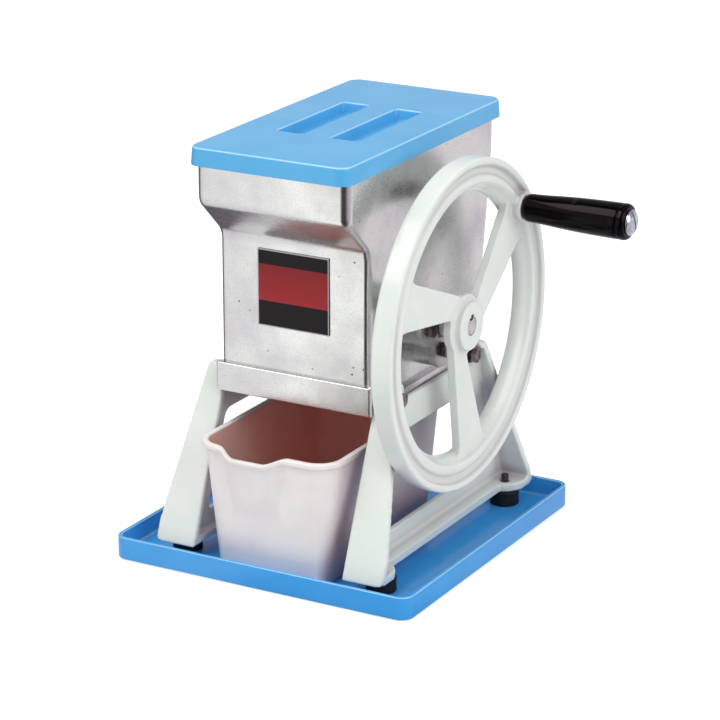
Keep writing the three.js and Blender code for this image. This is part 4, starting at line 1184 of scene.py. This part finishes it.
for side in ("right", "left"):
    soften(f"bearing_flange_{side}", "machine", plain_cast, 0.7, 3)
    for arm in ("rear", "front", "lower"):
        soften(f"bearing_bolt_{arm}_{side}", "machine", steel, 0.45)

# %% [markdown]
# ## Shaft, key, collar and nut
# These turn with the crank. The shaft's end is turned bright, and the wide round on its edge shows in the
# hub as a pale ring.

# %% Shaft, key, collar and nut
SHAFT_PARTS = (("main_shaft", turned_steel, 0.8), ("wheel_key", dark_steel, 0.25),
               ("shaft_collar", turned_steel, 0.5), ("grip_nut", steel, 0.4))
for node, finish, width in SHAFT_PARTS:
    soften(node, "crank", finish, width)

# %% [markdown]
# ## Inside the hopper
# The rotor, its spacers, the bushes and the combs show only when the lid is off, so they keep the packed
# meshes and only take their finishes.

# %% Finishes of the carried pieces
BY_SLOT = {"white_enamel": enamel, "cast_aluminium": aluminium, "blue_plastic": blue,
           "cup_plastic": cup_outside, "black_plastic": phenolic, "black_rubber": rubber, "zinc": zinc,
           "steel": rotor_cast, "bronze": bronze, "label_foil": label_foil}
for part in frame["record"]["subparts"]:
    packed = frame["nodes"][part["node"]].data
    packed.materials.clear()
    packed.materials.append(BY_SLOT[part["material_slot"]])

# %% [markdown]
# ## Light
# Polished metal shows its surroundings, so they are planned like a product photographer's table: a
# bright sheet to the front left, dark room to the front right and to the left, and soft grey behind. The
# front wall then mirrors the bright sheet, and only the rounded corners turn fast enough to catch the
# dark room, as thin dark stripes. The same ring of tones is used for the surroundings and the table.

# %% The ring of tones
RING = ((-180, "#dcd8dc"), (-126, "#cfc9ce"), (-109, "#4d434b"), (-82, "#463c44"), (-64, "#dbd9dc"),
        (-35, "#dfdde0"), (-28, "#ffffff"), (-14, "#f6f9f3"), (-4, "#443a42"), (44, "#3a3138"),
        (64, "#a39aa1"), (112, "#cac3c9"), (180, "#dcd8dc"))
print("tones in the ring:", len(RING))


def ring_tone(tree, vector):
    """The tone in a level direction: 0 degrees is the front, 90 is the crank's side."""
    axes = add_node(tree, "ShaderNodeSeparateXYZ", {}, {0: vector})
    forwards = add_node(tree, "ShaderNodeMath", {"operation": "MULTIPLY", 1: -1}, {0: axes.outputs["Y"]})
    turn = add_node(tree, "ShaderNodeMath", {"operation": "ARCTAN2"}, {0: axes.outputs["X"], 1: forwards})
    place = add_node(tree, "ShaderNodeMapRange", {"From Min": -math.pi, "From Max": math.pi},
                     {"Value": turn})
    stops = [((degrees + 180) / 360, tone) for degrees, tone in RING]
    return add_node(tree, "ShaderNodeValToRGB", {"stops": stops}, {0: place})


# %% [markdown]
# ### Surroundings
# Three skies share the world. Reflections see the ring of tones, fainter above than at eye level.
# Everything else is lit by a soft fill, stronger from above. The camera itself sees plain white.

# %% Surroundings
FILL_BELOW, FILL_ABOVE = 0.42, 0.9
MIRROR_LEVEL, MIRROR_ABOVE = 1.0, 0.45
MIRROR_FADE = 0.6
WHITE = (1, 1, 1, 1)

world = bpy.data.worlds.new("Studio")
scene.world = world
world.use_nodes = True
sky = world.node_tree
sky.nodes.clear()
ray = add_node(sky, "ShaderNodeLightPath")
direction = add_node(sky, "ShaderNodeTexCoord").outputs["Generated"]
up = add_node(sky, "ShaderNodeSeparateXYZ", {}, {0: direction}).outputs["Z"]
brightness = add_node(sky, "ShaderNodeMapRange", {"To Min": FILL_BELOW, "To Max": FILL_ABOVE},
                      {"Value": up})
fill = add_node(sky, "ShaderNodeBackground", {"Color": linear("#f5f1f6")}, {"Strength": brightness})
fading = add_node(sky, "ShaderNodeMapRange", {"From Max": MIRROR_FADE, "To Min": MIRROR_LEVEL,
                  "To Max": MIRROR_ABOVE}, {"Value": up})
mirror = add_node(sky, "ShaderNodeBackground", {}, {"Color": ring_tone(sky, direction), "Strength": fading})
plain = add_node(sky, "ShaderNodeBackground", {"Color": WHITE, "Strength": 1.0})
lit = add_node(sky, "ShaderNodeMixShader", {}, {0: ray.outputs["Is Glossy Ray"], 1: fill, 2: mirror})
seen = add_node(sky, "ShaderNodeMixShader", {}, {0: ray.outputs["Is Camera Ray"], 1: lit, 2: plain})
add_node(sky, "ShaderNodeOutputWorld", {}, {"Surface": seen})
print("fill from below and above:", FILL_BELOW, FILL_ABOVE)

# %% [markdown]
# ### Lamps
# A large soft lamp above the front left is the main light, and a fainter one on the crank's side opens
# the shadows. Both are square panels aimed at the middle of the machine. Places are in metres.

# %% Lamps
LAMP_AIM = Vector((0, 0, 0.15))
LAMP_SIZE = 1.6


def add_lamp(name, place, watts, colour):
    lamp = bpy.data.lights.new(name, "AREA")
    lamp.energy = watts
    lamp.size = LAMP_SIZE
    lamp.color = linear(colour)[:3]
    holder = bpy.data.objects.new(name, lamp)
    scene.collection.objects.link(holder)
    holder.location = place
    holder.rotation_euler = (LAMP_AIM - holder.location).to_track_quat("-Z", "Y").to_euler()
    print(name, "lamp, W:", watts)


add_lamp("Key", (-0.65, -1.1, 2.1), 25, "#fbfff4")
add_lamp("Side", (1.9, -0.4, 1.2), 18, "#fbfff8")

# %% [markdown]
# ## Floor
# A white table. To the camera it glows a little, so that it is white where light falls on it, and the
# machine's shadow still greys it. In the metal's reflections it carries the ring of tones. It lies half
# a millimetre below the tray, so that the two never share a face.

# %% Floor
TABLE_REACH = 6
TABLE_GAP = 0.5
TABLE_GLOW = 0.5
TABLE_CARD = 1.1


def make_paper():
    material, tree = new_material("white_table_paper")
    ray = add_node(tree, "ShaderNodeLightPath")
    glow = add_node(tree, "ShaderNodeMath", {"operation": "MULTIPLY", 1: TABLE_GLOW},
                    {0: ray.outputs["Is Camera Ray"]})
    sheet = add_node(tree, "ShaderNodeBsdfPrincipled", {"Base Color": linear("#e4e4e5"), "Roughness": 0.9,
                     "Emission Color": WHITE}, {"Emission Strength": glow})
    place = add_node(tree, "ShaderNodeTexCoord").outputs["Object"]
    card = add_node(tree, "ShaderNodeEmission", {"Strength": TABLE_CARD}, {"Color": ring_tone(tree, place)})
    shown = add_node(tree, "ShaderNodeMixShader", {}, {0: ray.outputs["Is Glossy Ray"], 1: sheet, 2: card})
    add_node(tree, "ShaderNodeOutputMaterial", {}, {"Surface": shown})
    return material


def make_floor():
    corners = [(x * TABLE_REACH, y * TABLE_REACH, 0) for x, y in ((-1, -1), (1, -1), (1, 1), (-1, 1))]
    mesh = bpy.data.meshes.new("table")
    mesh.from_pydata(corners, [], [(0, 1, 2, 3)])
    mesh.materials.append(make_paper())
    table = bpy.data.objects.new("table", mesh)
    table.location.z = -TABLE_GAP * MM
    scene.collection.objects.link(table)
    print("table, m:", 2 * TABLE_REACH)


make_floor()
scene.view_settings.view_transform = "Standard"
